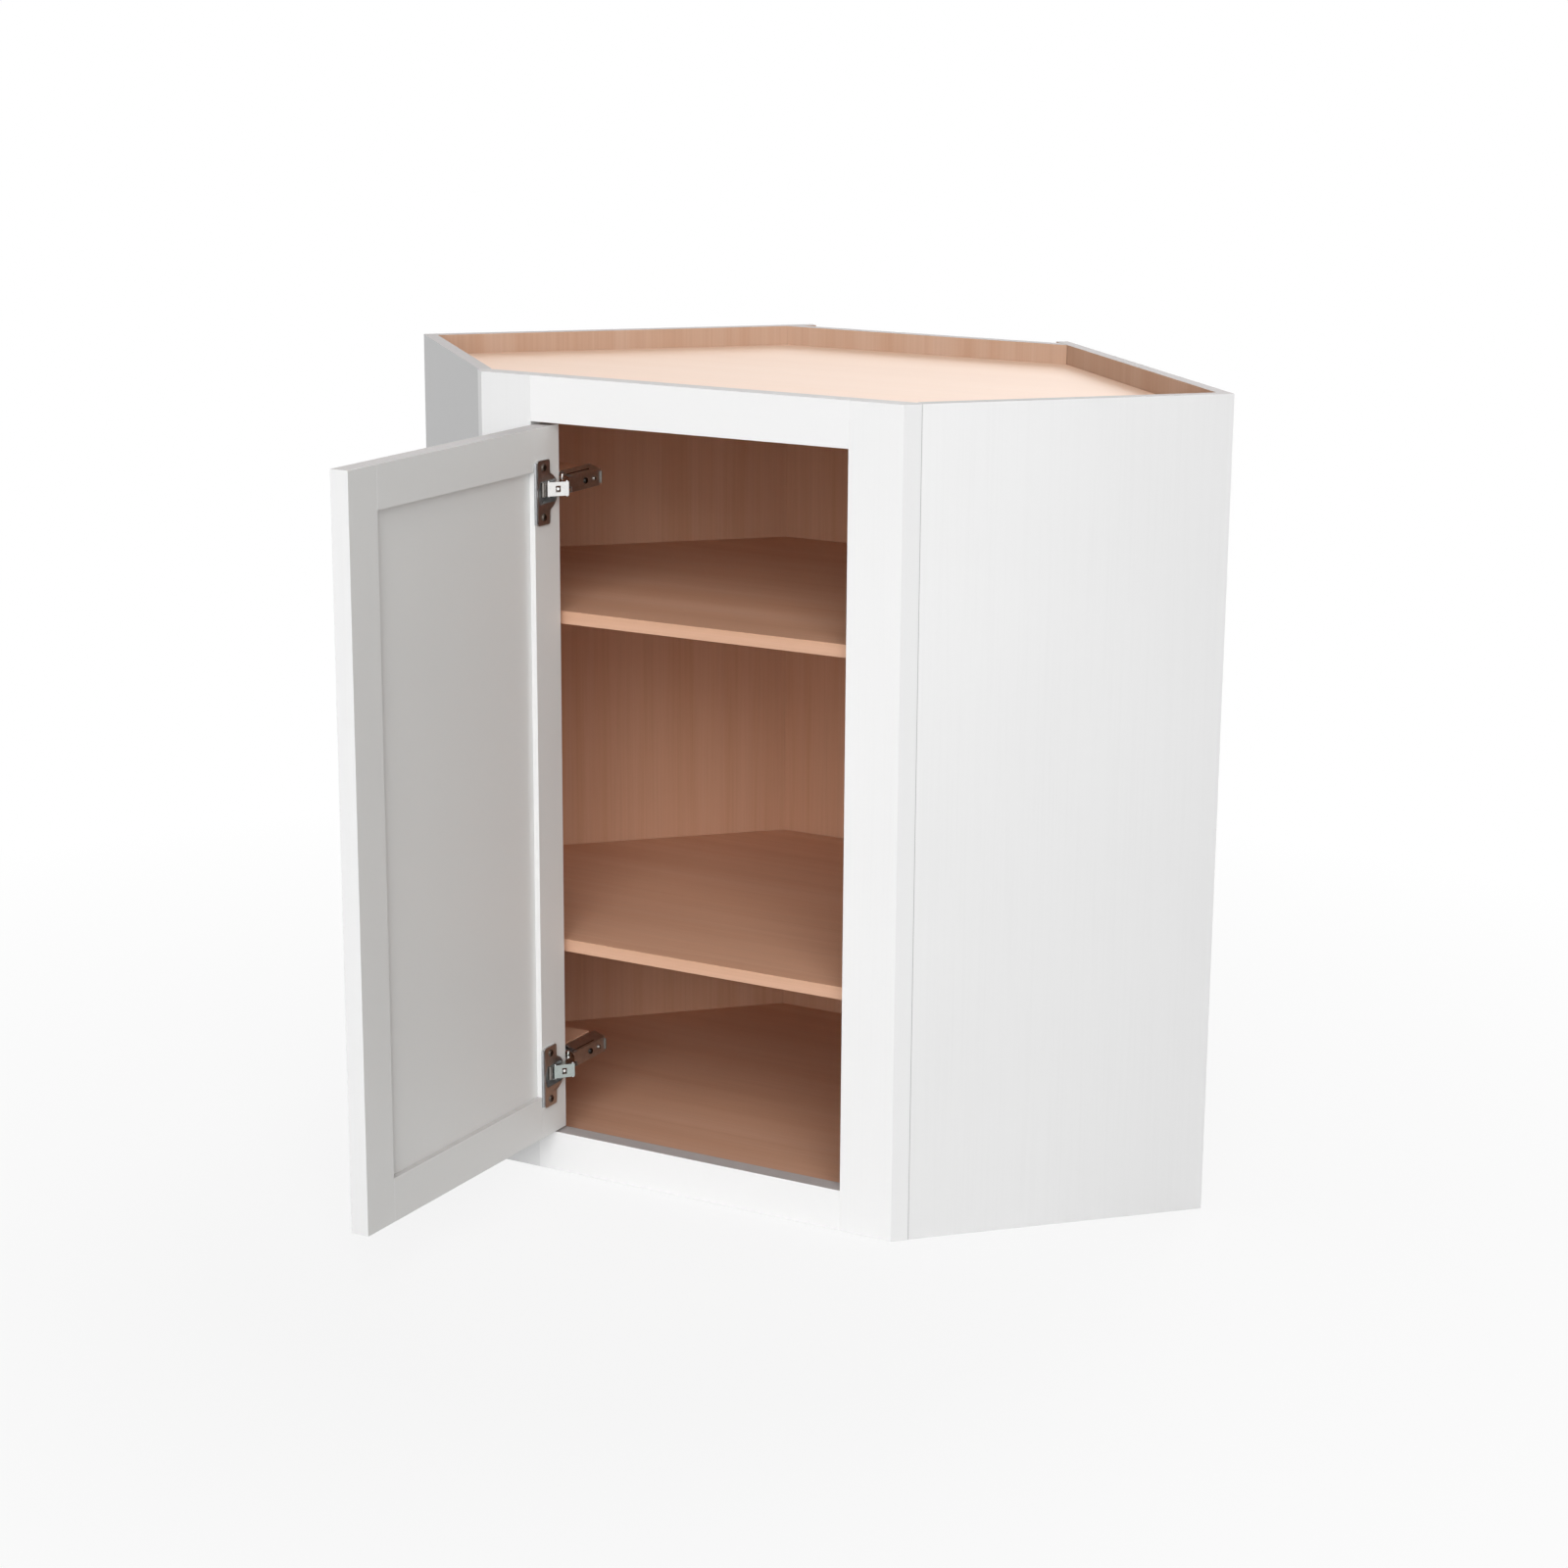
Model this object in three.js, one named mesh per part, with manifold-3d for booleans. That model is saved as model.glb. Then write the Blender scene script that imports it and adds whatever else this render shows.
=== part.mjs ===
// Diagonal corner wall cabinet with a framed front, one inset door and two shelves.
// Millimetres, +Z up. The face frame's front is the plane y = 0, the cabinet is mirrored
// about x = 0, and its bottom rim is at z = 0. The door stands open, as it hangs at rest.
import * as THREE from 'three';
import * as BufferGeometryUtils from 'three/addons/utils/BufferGeometryUtils.js';
import Module from 'manifold-3d';

const wasm = await Module();
wasm.setup();

// ---- driving dimensions -------------------------------------------------------------

// cabinet box
const cabinetHeight = 762;
const frontWidth = 431.8;
const endDepth = 304.8;
const wallSide = 381;
const panelThick = 12;
const backOverhang = 26;
const rimDepth = 19;
const seam = 0.3;

// face frame
const frameThick = 18;
const stileWidth = 53;
const topRailHeight = 42;
const bottomRailHeight = 39;
const stileReturn = 16.5;
const returnProud = 1;

// shelves and their pins
const shelfThick = 12;
const shelfGap = 1;
const shelfSetback = 3;
const lowerShelfTop = 226;
const shelfSpacing = 317;
const pinRadius = 2.5;
const pinInWood = 8;
const pinOut = 9;
const pinCollarRadius = 3.8;
const pinCollarThick = 1.4;
const pinClearance = 0.3;
const frontPinInset = 60;
const rearPinInset = 70;

// door
const doorThick = 18;
const doorGap = 2.4;
const doorStileWidth = 40.7;
const doorTopRailWidth = 39;
const doorBottomRailWidth = 41;
const doorPanelThick = 6;
const doorPanelRecess = 6;
const grooveDepth = 8;
const grooveClearance = 0.3;
const edgeRound = 2;
const pivotFromEdge = 7.4;
const pivotFromFront = 6.5;

// concealed hinges: cup and flange
const hingeFromTop = 59;
const hingeFromBottom = 59.5;
const cupRadius = 17.3;
const cupDepth = 11.3;
const cupWall = 1.3;
const cupFromEdge = 22.5;
const cupRimStep = 0.3;
const flangeThick = 2.3;
const flangeHeight = 59.5;
const flangeWidth = 20.5;
const flangeCorner = 2.5;
const flangeScrewSpacing = 45.5;
const flangeScrewOffset = 6.5;
const woodScrewRadius = 1.75;
const woodScrewLength = 11;
const woodScrewHeadRadius = 3.4;
const woodScrewHeadThick = 1.2;

// concealed hinges: block, mounting plate and arm
const blockWidth = 26;
const blockDepth = 72;
const blockHeight = 20;
const plateThick = 2;
const plateFrontInset = 12;
const plateLength = 58;
const plateHeight = 18;
const plateRailWidth = 8.4;
const plateScrewInset = 5;
const armHeight = 18;
const armStart = 22;
const armLength = 50;
const armWidth = 15.4;
const armBaseWidth = 23;
const armWall = 1.3;
const armSideDepth = 12;
const noseWidth = 9.4;
const noseWall = 1.2;
const noseRadius = 4;
const noseOverlap = 6;
const fixingScrewFromFront = 46;
const adjustScrewFromFront = 61;
const fixingScrewRadius = 2.9;
const adjustScrewRadius = 2.2;
const armScrewHeadThick = 1.4;
const armShankRadius = 1.6;
const fixingScrewLength = 9;
const adjustScrewLength = 4;

// concealed hinges: links
const linkPivotSetback = 9;
const linkPivotDrop = 2.1;
const linkPinRadius = 1.5;
const linkEyeRadius = 4.2;
const outerLinkWidth = 12.8;
const outerLinkWall = 1.4;
const linkPlateLength = 20.2;
const linkPlateAngle = 50;
const linkPastCup = 2;
const linkFootDepth = 3;
const linkBendInset = 4;
const innerLinkWidth = 6.2;
const innerLinkThick = 1.4;
const pinRunningGap = 0.08;
const windowLength = 4.6;
const windowHeight = 6;
const linkPinReach = 8.4;
const linkRise = 2.4;

// finishes
const WHITE_PAINT = { color: 0xf4f4f4, roughness: 0.42, metalness: 0 };
const MAPLE_VENEER = { color: 0xd9ad8b, roughness: 0.55, metalness: 0 };
const NICKEL = { color: 0xb9b4ae, roughness: 0.25, metalness: 1 };
const STEEL = { color: 0x9a9a9c, roughness: 0.35, metalness: 1 };
const PIN_PLASTIC = { color: 0xe2ddd6, roughness: 0.5, metalness: 0 };

// ---- worked-out dimensions ----------------------------------------------------------

const DIAGONAL = Math.SQRT1_2;
const frontHalf = frontWidth / 2;
const openingHalf = frontHalf - stileWidth;
const openingBottom = bottomRailHeight;
const openingTop = cabinetHeight - topRailHeight;
const innerDepth = endDepth - panelThick;
const innerEnd = returnProud + panelThick;
const cornerFaceY = (endDepth + wallSide) * DIAGONAL;
const cornerInnerY = cornerFaceY - panelThick;
const doorWidth = 2 * (openingHalf - doorGap);
const doorHeight = openingTop - openingBottom - 2 * doorGap;
const pivotX = -openingHalf + doorGap + pivotFromEdge;
const pivotY = pivotFromFront;
const doorBackX = pivotX + doorThick - pivotFromFront;
const doorEdgeY = pivotY + pivotFromEdge;
const doorBottom = openingBottom + doorGap;
const upperHingeZ = doorBottom + doorHeight - hingeFromTop;
const lowerHingeZ = doorBottom + hingeFromBottom;
const armFaceX = -openingHalf + armHeight;
const linkPivotX = armFaceX - linkPivotDrop;
const linkPivotY = frameThick + linkPivotSetback;

// A point of the right-hand half: u runs back along the end panel, v runs in towards x = 0.
function planPoint(u, v) {
  return [frontHalf + (u - v) * DIAGONAL, (u + v) * DIAGONAL];
}

// How far in, along v, the line at depth u meets the plane y.
function inwardAtY(u, y) {
  return y / DIAGONAL - u;
}

// ---- solids -------------------------------------------------------------------------

function solidOf(geometry) {
  const bare = geometry.clone();
  bare.deleteAttribute('normal');
  bare.deleteAttribute('uv');
  const merged = BufferGeometryUtils.mergeVertices(bare, 1e-5);
  return new wasm.Manifold(new wasm.Mesh({
    numProp: 3,
    vertProperties: new Float32Array(merged.attributes.position.array),
    triVerts: new Uint32Array(merged.index.array),
  }));
}

function geometryOf(solid) {
  const mesh = solid.getMesh();
  const geometry = new THREE.BufferGeometry();
  geometry.setAttribute('position', new THREE.BufferAttribute(mesh.vertProperties, 3));
  geometry.setIndex(new THREE.BufferAttribute(mesh.triVerts, 1));
  geometry.computeVertexNormals();
  return geometry;
}

function cut(geometry, ...tools) {
  let solid = solidOf(geometry);
  for (const tool of tools) {
    solid = solid.subtract(solidOf(tool));
  }
  return geometryOf(solid);
}

function join(geometry, ...others) {
  let solid = solidOf(geometry);
  for (const other of others) {
    solid = solid.add(solidOf(other));
  }
  return geometryOf(solid);
}

// A box between any two opposite corners.
function boxBetween(corner, opposite) {
  const low = corner.map((value, axis) => Math.min(value, opposite[axis]));
  const high = corner.map((value, axis) => Math.max(value, opposite[axis]));
  const size = high.map((value, axis) => value - low[axis]);
  const geometry = new THREE.BoxGeometry(...size);
  geometry.translate(...low.map((value, axis) => value + size[axis] / 2));
  const position = geometry.attributes.position;
  for (let i = 0; i < position.count; i += 1) {
    position.setX(i, position.getX(i) < (low[0] + high[0]) / 2 ? low[0] : high[0]);
    position.setY(i, position.getY(i) < (low[1] + high[1]) / 2 ? low[1] : high[1]);
    position.setZ(i, position.getZ(i) < (low[2] + high[2]) / 2 ? low[2] : high[2]);
  }
  return geometry;
}

function shapeOf(points) {
  return new THREE.Shape(points.map(([x, y]) => new THREE.Vector2(x, y)));
}

// An outline in plan, raised from one height to another.
function upright(outline, low, high, curveSegments = 8) {
  const shape = outline instanceof THREE.Shape ? outline : shapeOf(outline);
  const geometry = new THREE.ExtrudeGeometry(shape, {
    depth: high - low,
    bevelEnabled: false,
    curveSegments,
  });
  geometry.translate(0, 0, low);
  return geometry;
}

function mirrored(points) {
  return points.map(([x, y]) => [-x, y]).reverse();
}

// A cylinder from the origin along +X.
function rod(radius, length, start = 0, segments = 24) {
  const geometry = new THREE.CylinderGeometry(radius, radius, length, segments);
  geometry.rotateZ(-Math.PI / 2);
  geometry.translate(start + length / 2, 0, 0);
  return geometry;
}

// A cylinder along +Z between two heights.
function pillar(radius, low, high, segments = 24) {
  const geometry = new THREE.CylinderGeometry(radius, radius, high - low, segments);
  geometry.rotateX(Math.PI / 2);
  geometry.translate(0, 0, (low + high) / 2);
  return geometry;
}

function piece(name, geometry, finish) {
  const mesh = new THREE.Mesh(geometry, new THREE.MeshStandardMaterial(finish));
  mesh.name = name;
  return mesh;
}

// ---- face frame ---------------------------------------------------------------------

// The stile's outer edge is cut at 45 degrees, and a square return behind it meets the end panel.
function stileOutline() {
  const heel = planPoint(stileReturn, inwardAtY(stileReturn, frameThick));
  return [
    [openingHalf, 0],
    [frontHalf, 0],
    planPoint(stileReturn, 0),
    [heel[0], frameThick],
    [openingHalf, frameThick],
  ];
}

function faceFrame() {
  const group = new THREE.Group();
  const right = stileOutline();
  const topRail = boxBetween([-openingHalf, 0, openingTop], [openingHalf, frameThick, cabinetHeight]);
  const bottomRail = boxBetween([-openingHalf, 0, 0], [openingHalf, frameThick, openingBottom]);
  group.add(piece('frame_right_stile', upright(right, 0, cabinetHeight), WHITE_PAINT));
  group.add(piece('frame_left_stile', upright(mirrored(right), 0, cabinetHeight), WHITE_PAINT));
  group.add(piece('frame_top_rail', topRail, WHITE_PAINT));
  group.add(piece('frame_bottom_rail', bottomRail, WHITE_PAINT));
  return group;
}

// ---- shelf pins and their holes -----------------------------------------------------

// Where each pin enters its panel, and the way it points out of it, on the right-hand side.
function pinSeats() {
  const frontPoint = planPoint(stileReturn + frontPinInset, innerEnd);
  const rearPoint = planPoint(innerDepth, wallSide - rearPinInset);
  return [
    { place: 'front', panel: 'end', point: frontPoint, direction: [-DIAGONAL, DIAGONAL] },
    { place: 'rear', panel: 'back', point: rearPoint, direction: [-DIAGONAL, -DIAGONAL] },
  ];
}

function shelfLevels() {
  return [
    { level: 'lower', top: lowerShelfTop },
    { level: 'upper', top: lowerShelfTop + shelfSpacing },
  ];
}

function pinHeight(shelfTop) {
  return shelfTop - shelfThick - pinClearance - pinRadius;
}

function placeAlong(object, point, direction, z) {
  object.position.set(point[0], point[1], z);
  object.rotation.z = Math.atan2(direction[1], direction[0]);
  return object;
}

// The blind holes of one panel, as cylinders ready to be cut from it.
function pinHoles(panel, side) {
  const holes = [];
  for (const seat of pinSeats().filter((entry) => entry.panel === panel)) {
    for (const { top } of shelfLevels()) {
      const hole = rod(pinRadius + pinClearance, pinInWood + pinClearance + 1, -pinInWood - pinClearance);
      const direction = [side * seat.direction[0], seat.direction[1]];
      const carrier = placeAlong(new THREE.Object3D(), [side * seat.point[0], seat.point[1]], direction, pinHeight(top));
      carrier.updateMatrix();
      hole.applyMatrix4(carrier.matrix);
      holes.push(hole);
    }
  }
  return holes;
}

function shelfPins() {
  const group = new THREE.Group();
  const collarLength = pinCollarThick;
  for (const { level, top } of shelfLevels()) {
    for (const [sideName, side] of [['left', -1], ['right', 1]]) {
      for (const seat of pinSeats()) {
        const shank = rod(pinRadius, pinInWood + pinOut, -pinInWood, 16);
        const collar = rod(pinCollarRadius, collarLength, seam, 16);
        const collarFlat = boxBetween(
          [0, -2 * pinCollarRadius, pinRadius],
          [pinOut, 2 * pinCollarRadius, 2 * pinCollarRadius],
        );
        const geometry = cut(join(shank, collar), collarFlat);
        const pin = piece(`${level}_pin_${sideName}_${seat.place}`, geometry, PIN_PLASTIC);
        const direction = [side * seat.direction[0], seat.direction[1]];
        placeAlong(pin, [side * seat.point[0], seat.point[1]], direction, pinHeight(top));
        group.add(pin);
      }
    }
  }
  return group;
}

// ---- cabinet box --------------------------------------------------------------------

function endOutline() {
  const front = stileReturn + seam;
  return [
    planPoint(front, returnProud),
    planPoint(endDepth, returnProud),
    planPoint(endDepth, innerEnd),
    planPoint(front, innerEnd),
  ];
}

// The back panels run on past the corner panel and close against the two walls.
function backOutline() {
  const start = innerEnd + seam;
  const end = wallSide + backOverhang;
  return [
    planPoint(innerDepth, start),
    planPoint(endDepth, start),
    planPoint(endDepth, end),
    planPoint(innerDepth, end),
  ];
}

function cornerOutline() {
  const depth = innerDepth - seam;
  const outer = planPoint(depth, inwardAtY(depth, cornerFaceY));
  const inner = planPoint(depth, inwardAtY(depth, cornerInnerY));
  return [
    [inner[0], cornerInnerY],
    [outer[0], cornerFaceY],
    [-outer[0], cornerFaceY],
    [-inner[0], cornerInnerY],
  ];
}

// The level boards share one outline: a gap to each wall, and a front edge at frontY.
function boardOutline(frontY, gap) {
  const end = innerEnd + gap;
  const depth = innerDepth - gap;
  const rearY = cornerInnerY - gap;
  const front = planPoint(inwardAtY(end, frontY), end);
  const side = planPoint(depth, end);
  const rear = planPoint(depth, inwardAtY(depth, rearY));
  const right = [[front[0], frontY], side, [rear[0], rearY]];
  return [...right, ...mirrored(right)];
}

function cabinetBox() {
  const group = new THREE.Group();
  const board = boardOutline(frameThick, seam);
  const bottomLow = rimDepth;
  const topHigh = cabinetHeight - rimDepth;
  for (const [sideName, side] of [['left', -1], ['right', 1]]) {
    const end = side < 0 ? mirrored(endOutline()) : endOutline();
    const back = side < 0 ? mirrored(backOutline()) : backOutline();
    const endSolid = cut(upright(end, 0, cabinetHeight), ...pinHoles('end', side));
    const backSolid = cut(upright(back, 0, cabinetHeight), ...pinHoles('back', side));
    group.add(piece(`${sideName}_end_panel`, endSolid, WHITE_PAINT));
    group.add(piece(`${sideName}_back_panel`, backSolid, MAPLE_VENEER));
  }
  group.add(piece('corner_back_panel', upright(cornerOutline(), 0, cabinetHeight), MAPLE_VENEER));
  group.add(piece('bottom_panel', upright(board, bottomLow, bottomLow + panelThick), MAPLE_VENEER));
  group.add(piece('top_panel', upright(board, topHigh - panelThick, topHigh), MAPLE_VENEER));
  return group;
}

function shelves() {
  const group = new THREE.Group();
  const outline = boardOutline(frameThick + shelfSetback, shelfGap);
  for (const { level, top } of shelfLevels()) {
    group.add(piece(`${level}_shelf`, upright(outline, top - shelfThick, top), MAPLE_VENEER));
  }
  return group;
}

// ---- door ---------------------------------------------------------------------------

// The door is drawn open, in its own frame: x = 0 is its back face and -x its front,
// y = 0 its hinge edge, -y its latch edge, and z = 0 its bottom edge.
const panelFront = -doorPanelRecess - doorPanelThick;

// The hinge stile's front arris is rounded, so that it clears the face frame as it turns.
function hingeStileOutline() {
  const outline = new THREE.Shape();
  outline.moveTo(0, 0);
  outline.lineTo(0, -doorStileWidth);
  outline.lineTo(-doorThick, -doorStileWidth);
  outline.lineTo(-doorThick, -edgeRound);
  outline.absarc(-doorThick + edgeRound, -edgeRound, edgeRound, Math.PI, Math.PI / 2, true);
  return outline;
}

function hingeHeights() {
  return [
    { level: 'upper', z: upperHingeZ - doorBottom },
    { level: 'lower', z: lowerHingeZ - doorBottom },
  ];
}

function cupBores() {
  const bores = [];
  for (const { z } of hingeHeights()) {
    const bore = rod(cupRadius + seam, cupDepth + seam + 1, -cupDepth - seam, 40);
    bore.translate(0, -cupFromEdge, z);
    bores.push(bore);
    for (const end of [-1, 1]) {
      const pilot = rod(woodScrewRadius + seam, woodScrewLength + seam + 1, -woodScrewLength - seam, 12);
      pilot.translate(0, -cupFromEdge - flangeScrewOffset, z + (end * flangeScrewSpacing) / 2);
      bores.push(pilot);
    }
  }
  return bores;
}

// A groove of the door frame, for the centre panel and the rails' tongues.
function grooveBetween(yLow, yHigh, zLow, zHigh) {
  return boxBetween(
    [panelFront - grooveClearance, yLow, zLow],
    [-doorPanelRecess + grooveClearance, yHigh, zHigh],
  );
}

function doorHingeStile() {
  const groove = grooveBetween(
    -doorStileWidth - 1,
    -doorStileWidth + grooveDepth + grooveClearance,
    -1,
    doorHeight + 1,
  );
  const stile = upright(hingeStileOutline(), 0, doorHeight);
  return piece('door_hinge_stile', cut(stile, groove, ...cupBores()), WHITE_PAINT);
}

function doorLatchStile() {
  const inner = -doorWidth + doorStileWidth;
  const groove = grooveBetween(inner - grooveDepth - grooveClearance, inner + 1, -1, doorHeight + 1);
  const stile = boxBetween([-doorThick, -doorWidth, 0], [0, inner, doorHeight]);
  return piece('door_latch_stile', cut(stile, groove), WHITE_PAINT);
}

// A rail runs between the stiles, with a tongue at each end that lies in the stile's groove.
function doorRail(name, outerZ, innerZ) {
  const inwards = Math.sign(innerZ - outerZ);
  const latchEnd = -doorWidth + doorStileWidth;
  const hingeEnd = -doorStileWidth;
  const body = boxBetween([-doorThick, latchEnd, outerZ], [0, hingeEnd, innerZ]);
  const groove = grooveBetween(
    latchEnd - 1,
    hingeEnd + 1,
    innerZ - inwards * (grooveDepth + grooveClearance),
    innerZ + inwards,
  );
  const tongue = boxBetween(
    [panelFront, latchEnd - grooveDepth, outerZ + 2 * inwards],
    [-doorPanelRecess, hingeEnd + grooveDepth, innerZ - inwards * (grooveDepth + 1)],
  );
  return piece(`door_${name}_rail`, join(cut(body, groove), tongue), WHITE_PAINT);
}

// The cups are bored in the assembled door, so their bores bite the panel's edge too.
function doorCentrePanel() {
  const panel = boxBetween(
    [panelFront, -doorWidth + doorStileWidth - grooveDepth, doorBottomRailWidth - grooveDepth],
    [-doorPanelRecess, -doorStileWidth + grooveDepth, doorHeight - doorTopRailWidth + grooveDepth],
  );
  return piece('door_centre_panel', cut(panel, ...cupBores()), WHITE_PAINT);
}

function door() {
  const group = new THREE.Group();
  group.add(doorHingeStile());
  group.add(doorLatchStile());
  group.add(doorRail('top', doorHeight, doorHeight - doorTopRailWidth));
  group.add(doorRail('bottom', 0, doorBottomRailWidth));
  group.add(doorCentrePanel());
  for (const hinge of hingeHeights()) {
    group.add(hingeCup(hinge));
  }
  group.position.set(doorBackX, doorEdgeY, doorBottom);
  return group;
}

// ---- hinge parts on the door --------------------------------------------------------

function flangeOutline() {
  const centreY = -flangeScrewOffset;
  const low = centreY - flangeWidth / 2;
  const high = centreY + flangeWidth / 2;
  const half = flangeHeight / 2;
  const corner = flangeCorner;
  const outline = new THREE.Shape();
  outline.moveTo(low + corner, -half);
  outline.lineTo(high - corner, -half);
  outline.absarc(high - corner, -half + corner, corner, -Math.PI / 2, 0, false);
  outline.lineTo(high, half - corner);
  outline.absarc(high - corner, half - corner, corner, 0, Math.PI / 2, false);
  outline.lineTo(low + corner, half);
  outline.absarc(low + corner, half - corner, corner, Math.PI / 2, Math.PI, false);
  outline.lineTo(low, -half + corner);
  outline.absarc(low + corner, -half + corner, corner, Math.PI, 1.5 * Math.PI, false);
  return outline;
}

// The pressed cup is let into the door, and its flange lies on the door's back.
function hingeCup({ level, z }) {
  const group = new THREE.Group();
  const flange = upright(flangeOutline(), 0, flangeThick, 4);
  // the outline's x and y become the door's y and z, and its height becomes x
  flange.rotateX(Math.PI / 2);
  flange.rotateZ(Math.PI / 2);
  const rim = rod(cupRadius, cupDepth + flangeThick - cupRimStep, -cupDepth, 40);
  const hollow = rod(cupRadius - cupWall, cupDepth + flangeThick, -cupDepth + cupWall, 40);
  const screwHoles = [-1, 1].map((end) => {
    const hole = rod(woodScrewRadius + seam, flangeThick + 2, -1, 16);
    hole.translate(0, -flangeScrewOffset, (end * flangeScrewSpacing) / 2);
    return hole;
  });
  group.add(piece(`${level}_hinge_cup`, cut(join(flange, rim), hollow, ...screwHoles), NICKEL));
  for (const [endName, end] of [['bottom', -1], ['top', 1]]) {
    const screw = piece(`${level}_cup_screw_${endName}`, woodScrew(flangeThick), STEEL);
    screw.position.set(0, -flangeScrewOffset, (end * flangeScrewSpacing) / 2);
    group.add(screw);
  }
  group.position.set(0, -cupFromEdge, z);
  return group;
}

// A pan-head screw along X, whose head sits on a sheet of the given thickness.
function woodScrew(sheet) {
  const shank = rod(woodScrewRadius, woodScrewLength + sheet, -woodScrewLength, 16);
  const head = rod(woodScrewHeadRadius, woodScrewHeadThick, sheet, 24);
  return cut(join(shank, head), ...crossRecess(woodScrewHeadRadius, sheet + woodScrewHeadThick));
}

function crossRecess(headRadius, top) {
  const reach = headRadius * 0.62;
  const half = headRadius * 0.14;
  const depth = 0.8;
  return [
    boxBetween([top - depth, -reach, -half], [top + 1, reach, half]),
    boxBetween([top - depth, -half, -reach], [top + 1, half, reach]),
  ];
}

// ---- hinge parts on the cabinet -----------------------------------------------------

// The block, plate and arm are drawn about the hinge's middle height, in the cabinet's frame.
function hingeBlock(level) {
  const block = boxBetween(
    [-openingHalf - blockWidth, frameThick, -blockHeight / 2],
    [-openingHalf, frameThick + blockDepth, blockHeight / 2],
  );
  const pilots = plateScrewPlaces().map((y) => {
    const pilot = rod(woodScrewRadius + seam, woodScrewLength + seam + 1, -woodScrewLength - seam, 12);
    pilot.translate(-openingHalf, y, 0);
    return pilot;
  });
  return piece(`${level}_hinge_block`, cut(block, ...pilots), MAPLE_VENEER);
}

function plateScrewPlaces() {
  const front = frameThick + plateFrontInset;
  return [front + plateScrewInset, front + plateLength - plateScrewInset];
}

function mountingPlate(level) {
  const front = frameThick + plateFrontInset;
  const rearScrew = plateScrewPlaces()[1];
  const railClear = woodScrewHeadRadius + 2;
  const base = boxBetween(
    [-openingHalf, front, -plateHeight / 2],
    [-openingHalf + plateThick, front + plateLength, plateHeight / 2],
  );
  const rail = boxBetween(
    [-openingHalf, frameThick + armStart + noseOverlap + seam, -plateRailWidth / 2],
    [armFaceX - armWall - seam, rearScrew - railClear, plateRailWidth / 2],
  );
  const holes = plateScrewPlaces().map((y) => {
    const hole = rod(woodScrewRadius + seam, plateThick + 2, -1, 16);
    hole.translate(-openingHalf, y, 0);
    return hole;
  });
  const bores = [fixingScrewFromFront, adjustScrewFromFront].map((offset) => {
    const bore = rod(armShankRadius + seam, armHeight, plateThick + 1, 16);
    bore.translate(-openingHalf, frameThick + offset, 0);
    return bore;
  });
  return piece(`${level}_mounting_plate`, cut(join(base, rail), ...holes, ...bores), NICKEL);
}

// A flat face with two splayed sides, its section drawn as distance behind the face and height.
function channel(frontY, rearY) {
  const half = armWidth / 2;
  const splay = (armBaseWidth / 2 - half) / armSideDepth;
  const innerHalf = half - armWall;
  const past = armSideDepth + 1;
  const innerEnd = innerHalf + splay * (past - armWall);
  const outer = upright(
    [[0, half], [-armSideDepth, armBaseWidth / 2], [-armSideDepth, -armBaseWidth / 2], [0, -half]],
    frontY,
    rearY,
  );
  const hollow = upright(
    [[-armWall, innerHalf], [-past, innerEnd], [-past, -innerEnd], [-armWall, -innerHalf]],
    frontY - 1,
    rearY + 1,
  );
  const body = cut(outer, hollow);
  body.rotateX(-Math.PI / 2);
  body.translate(armFaceX, 0, 0);
  return body;
}

// Two rounded cheeks carry the links' pin, in front of the arm's channel.
function armNose() {
  const rear = frameThick + armStart + noseOverlap;
  const outline = new THREE.Shape();
  outline.moveTo(armFaceX, rear);
  outline.lineTo(linkPivotX - noseRadius, rear);
  outline.lineTo(linkPivotX - noseRadius, linkPivotY);
  outline.absarc(linkPivotX, linkPivotY, noseRadius, Math.PI, 2 * Math.PI - 0.6, false);
  outline.lineTo(armFaceX, linkPivotY + noseRadius);
  const body = upright(outline, -noseWidth / 2, noseWidth / 2);
  const innerHalf = noseWidth / 2 - noseWall;
  const roofStart = linkPivotY + linkEyeRadius + 2;
  const slot = boxBetween(
    [linkPivotX - 2 * noseRadius, linkPivotY - 2 * noseRadius, -innerHalf],
    [armFaceX + 2 * noseRadius, roofStart, innerHalf],
  );
  const underRoof = boxBetween(
    [linkPivotX - 2 * noseRadius, roofStart - 1, -innerHalf],
    [armFaceX - armWall, rear + 1, innerHalf],
  );
  const pinBore = pillar(linkPinRadius + pinRunningGap, -noseWidth, noseWidth);
  pinBore.translate(linkPivotX, linkPivotY, 0);
  const nose = cut(body, slot, underRoof, pinBore);
  nose.translate(0, 0, linkRise);
  return nose;
}

function hingeArm(level) {
  const front = frameThick + armStart;
  const rear = front + armLength;
  const body = join(channel(front, rear), armNose());
  const holes = [fixingScrewFromFront, adjustScrewFromFront].map((offset) => {
    const hole = rod(armShankRadius + seam, armWall + 2, -armWall - 1, 20);
    hole.translate(armFaceX, frameThick + offset, 0);
    return hole;
  });
  return piece(`${level}_hinge_arm`, cut(body, ...holes), NICKEL);
}

// A machine screw through the arm's face and into the plate's rail.
function armScrew(name, offset, length, radius) {
  const shank = rod(armShankRadius, armWall + length, -armWall - length, 16);
  const head = rod(radius, armScrewHeadThick, 0, 24);
  const geometry = cut(join(shank, head), ...crossRecess(radius, armScrewHeadThick));
  const screw = piece(name, geometry, STEEL);
  screw.position.set(armFaceX, frameThick + offset, 0);
  return screw;
}

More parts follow.
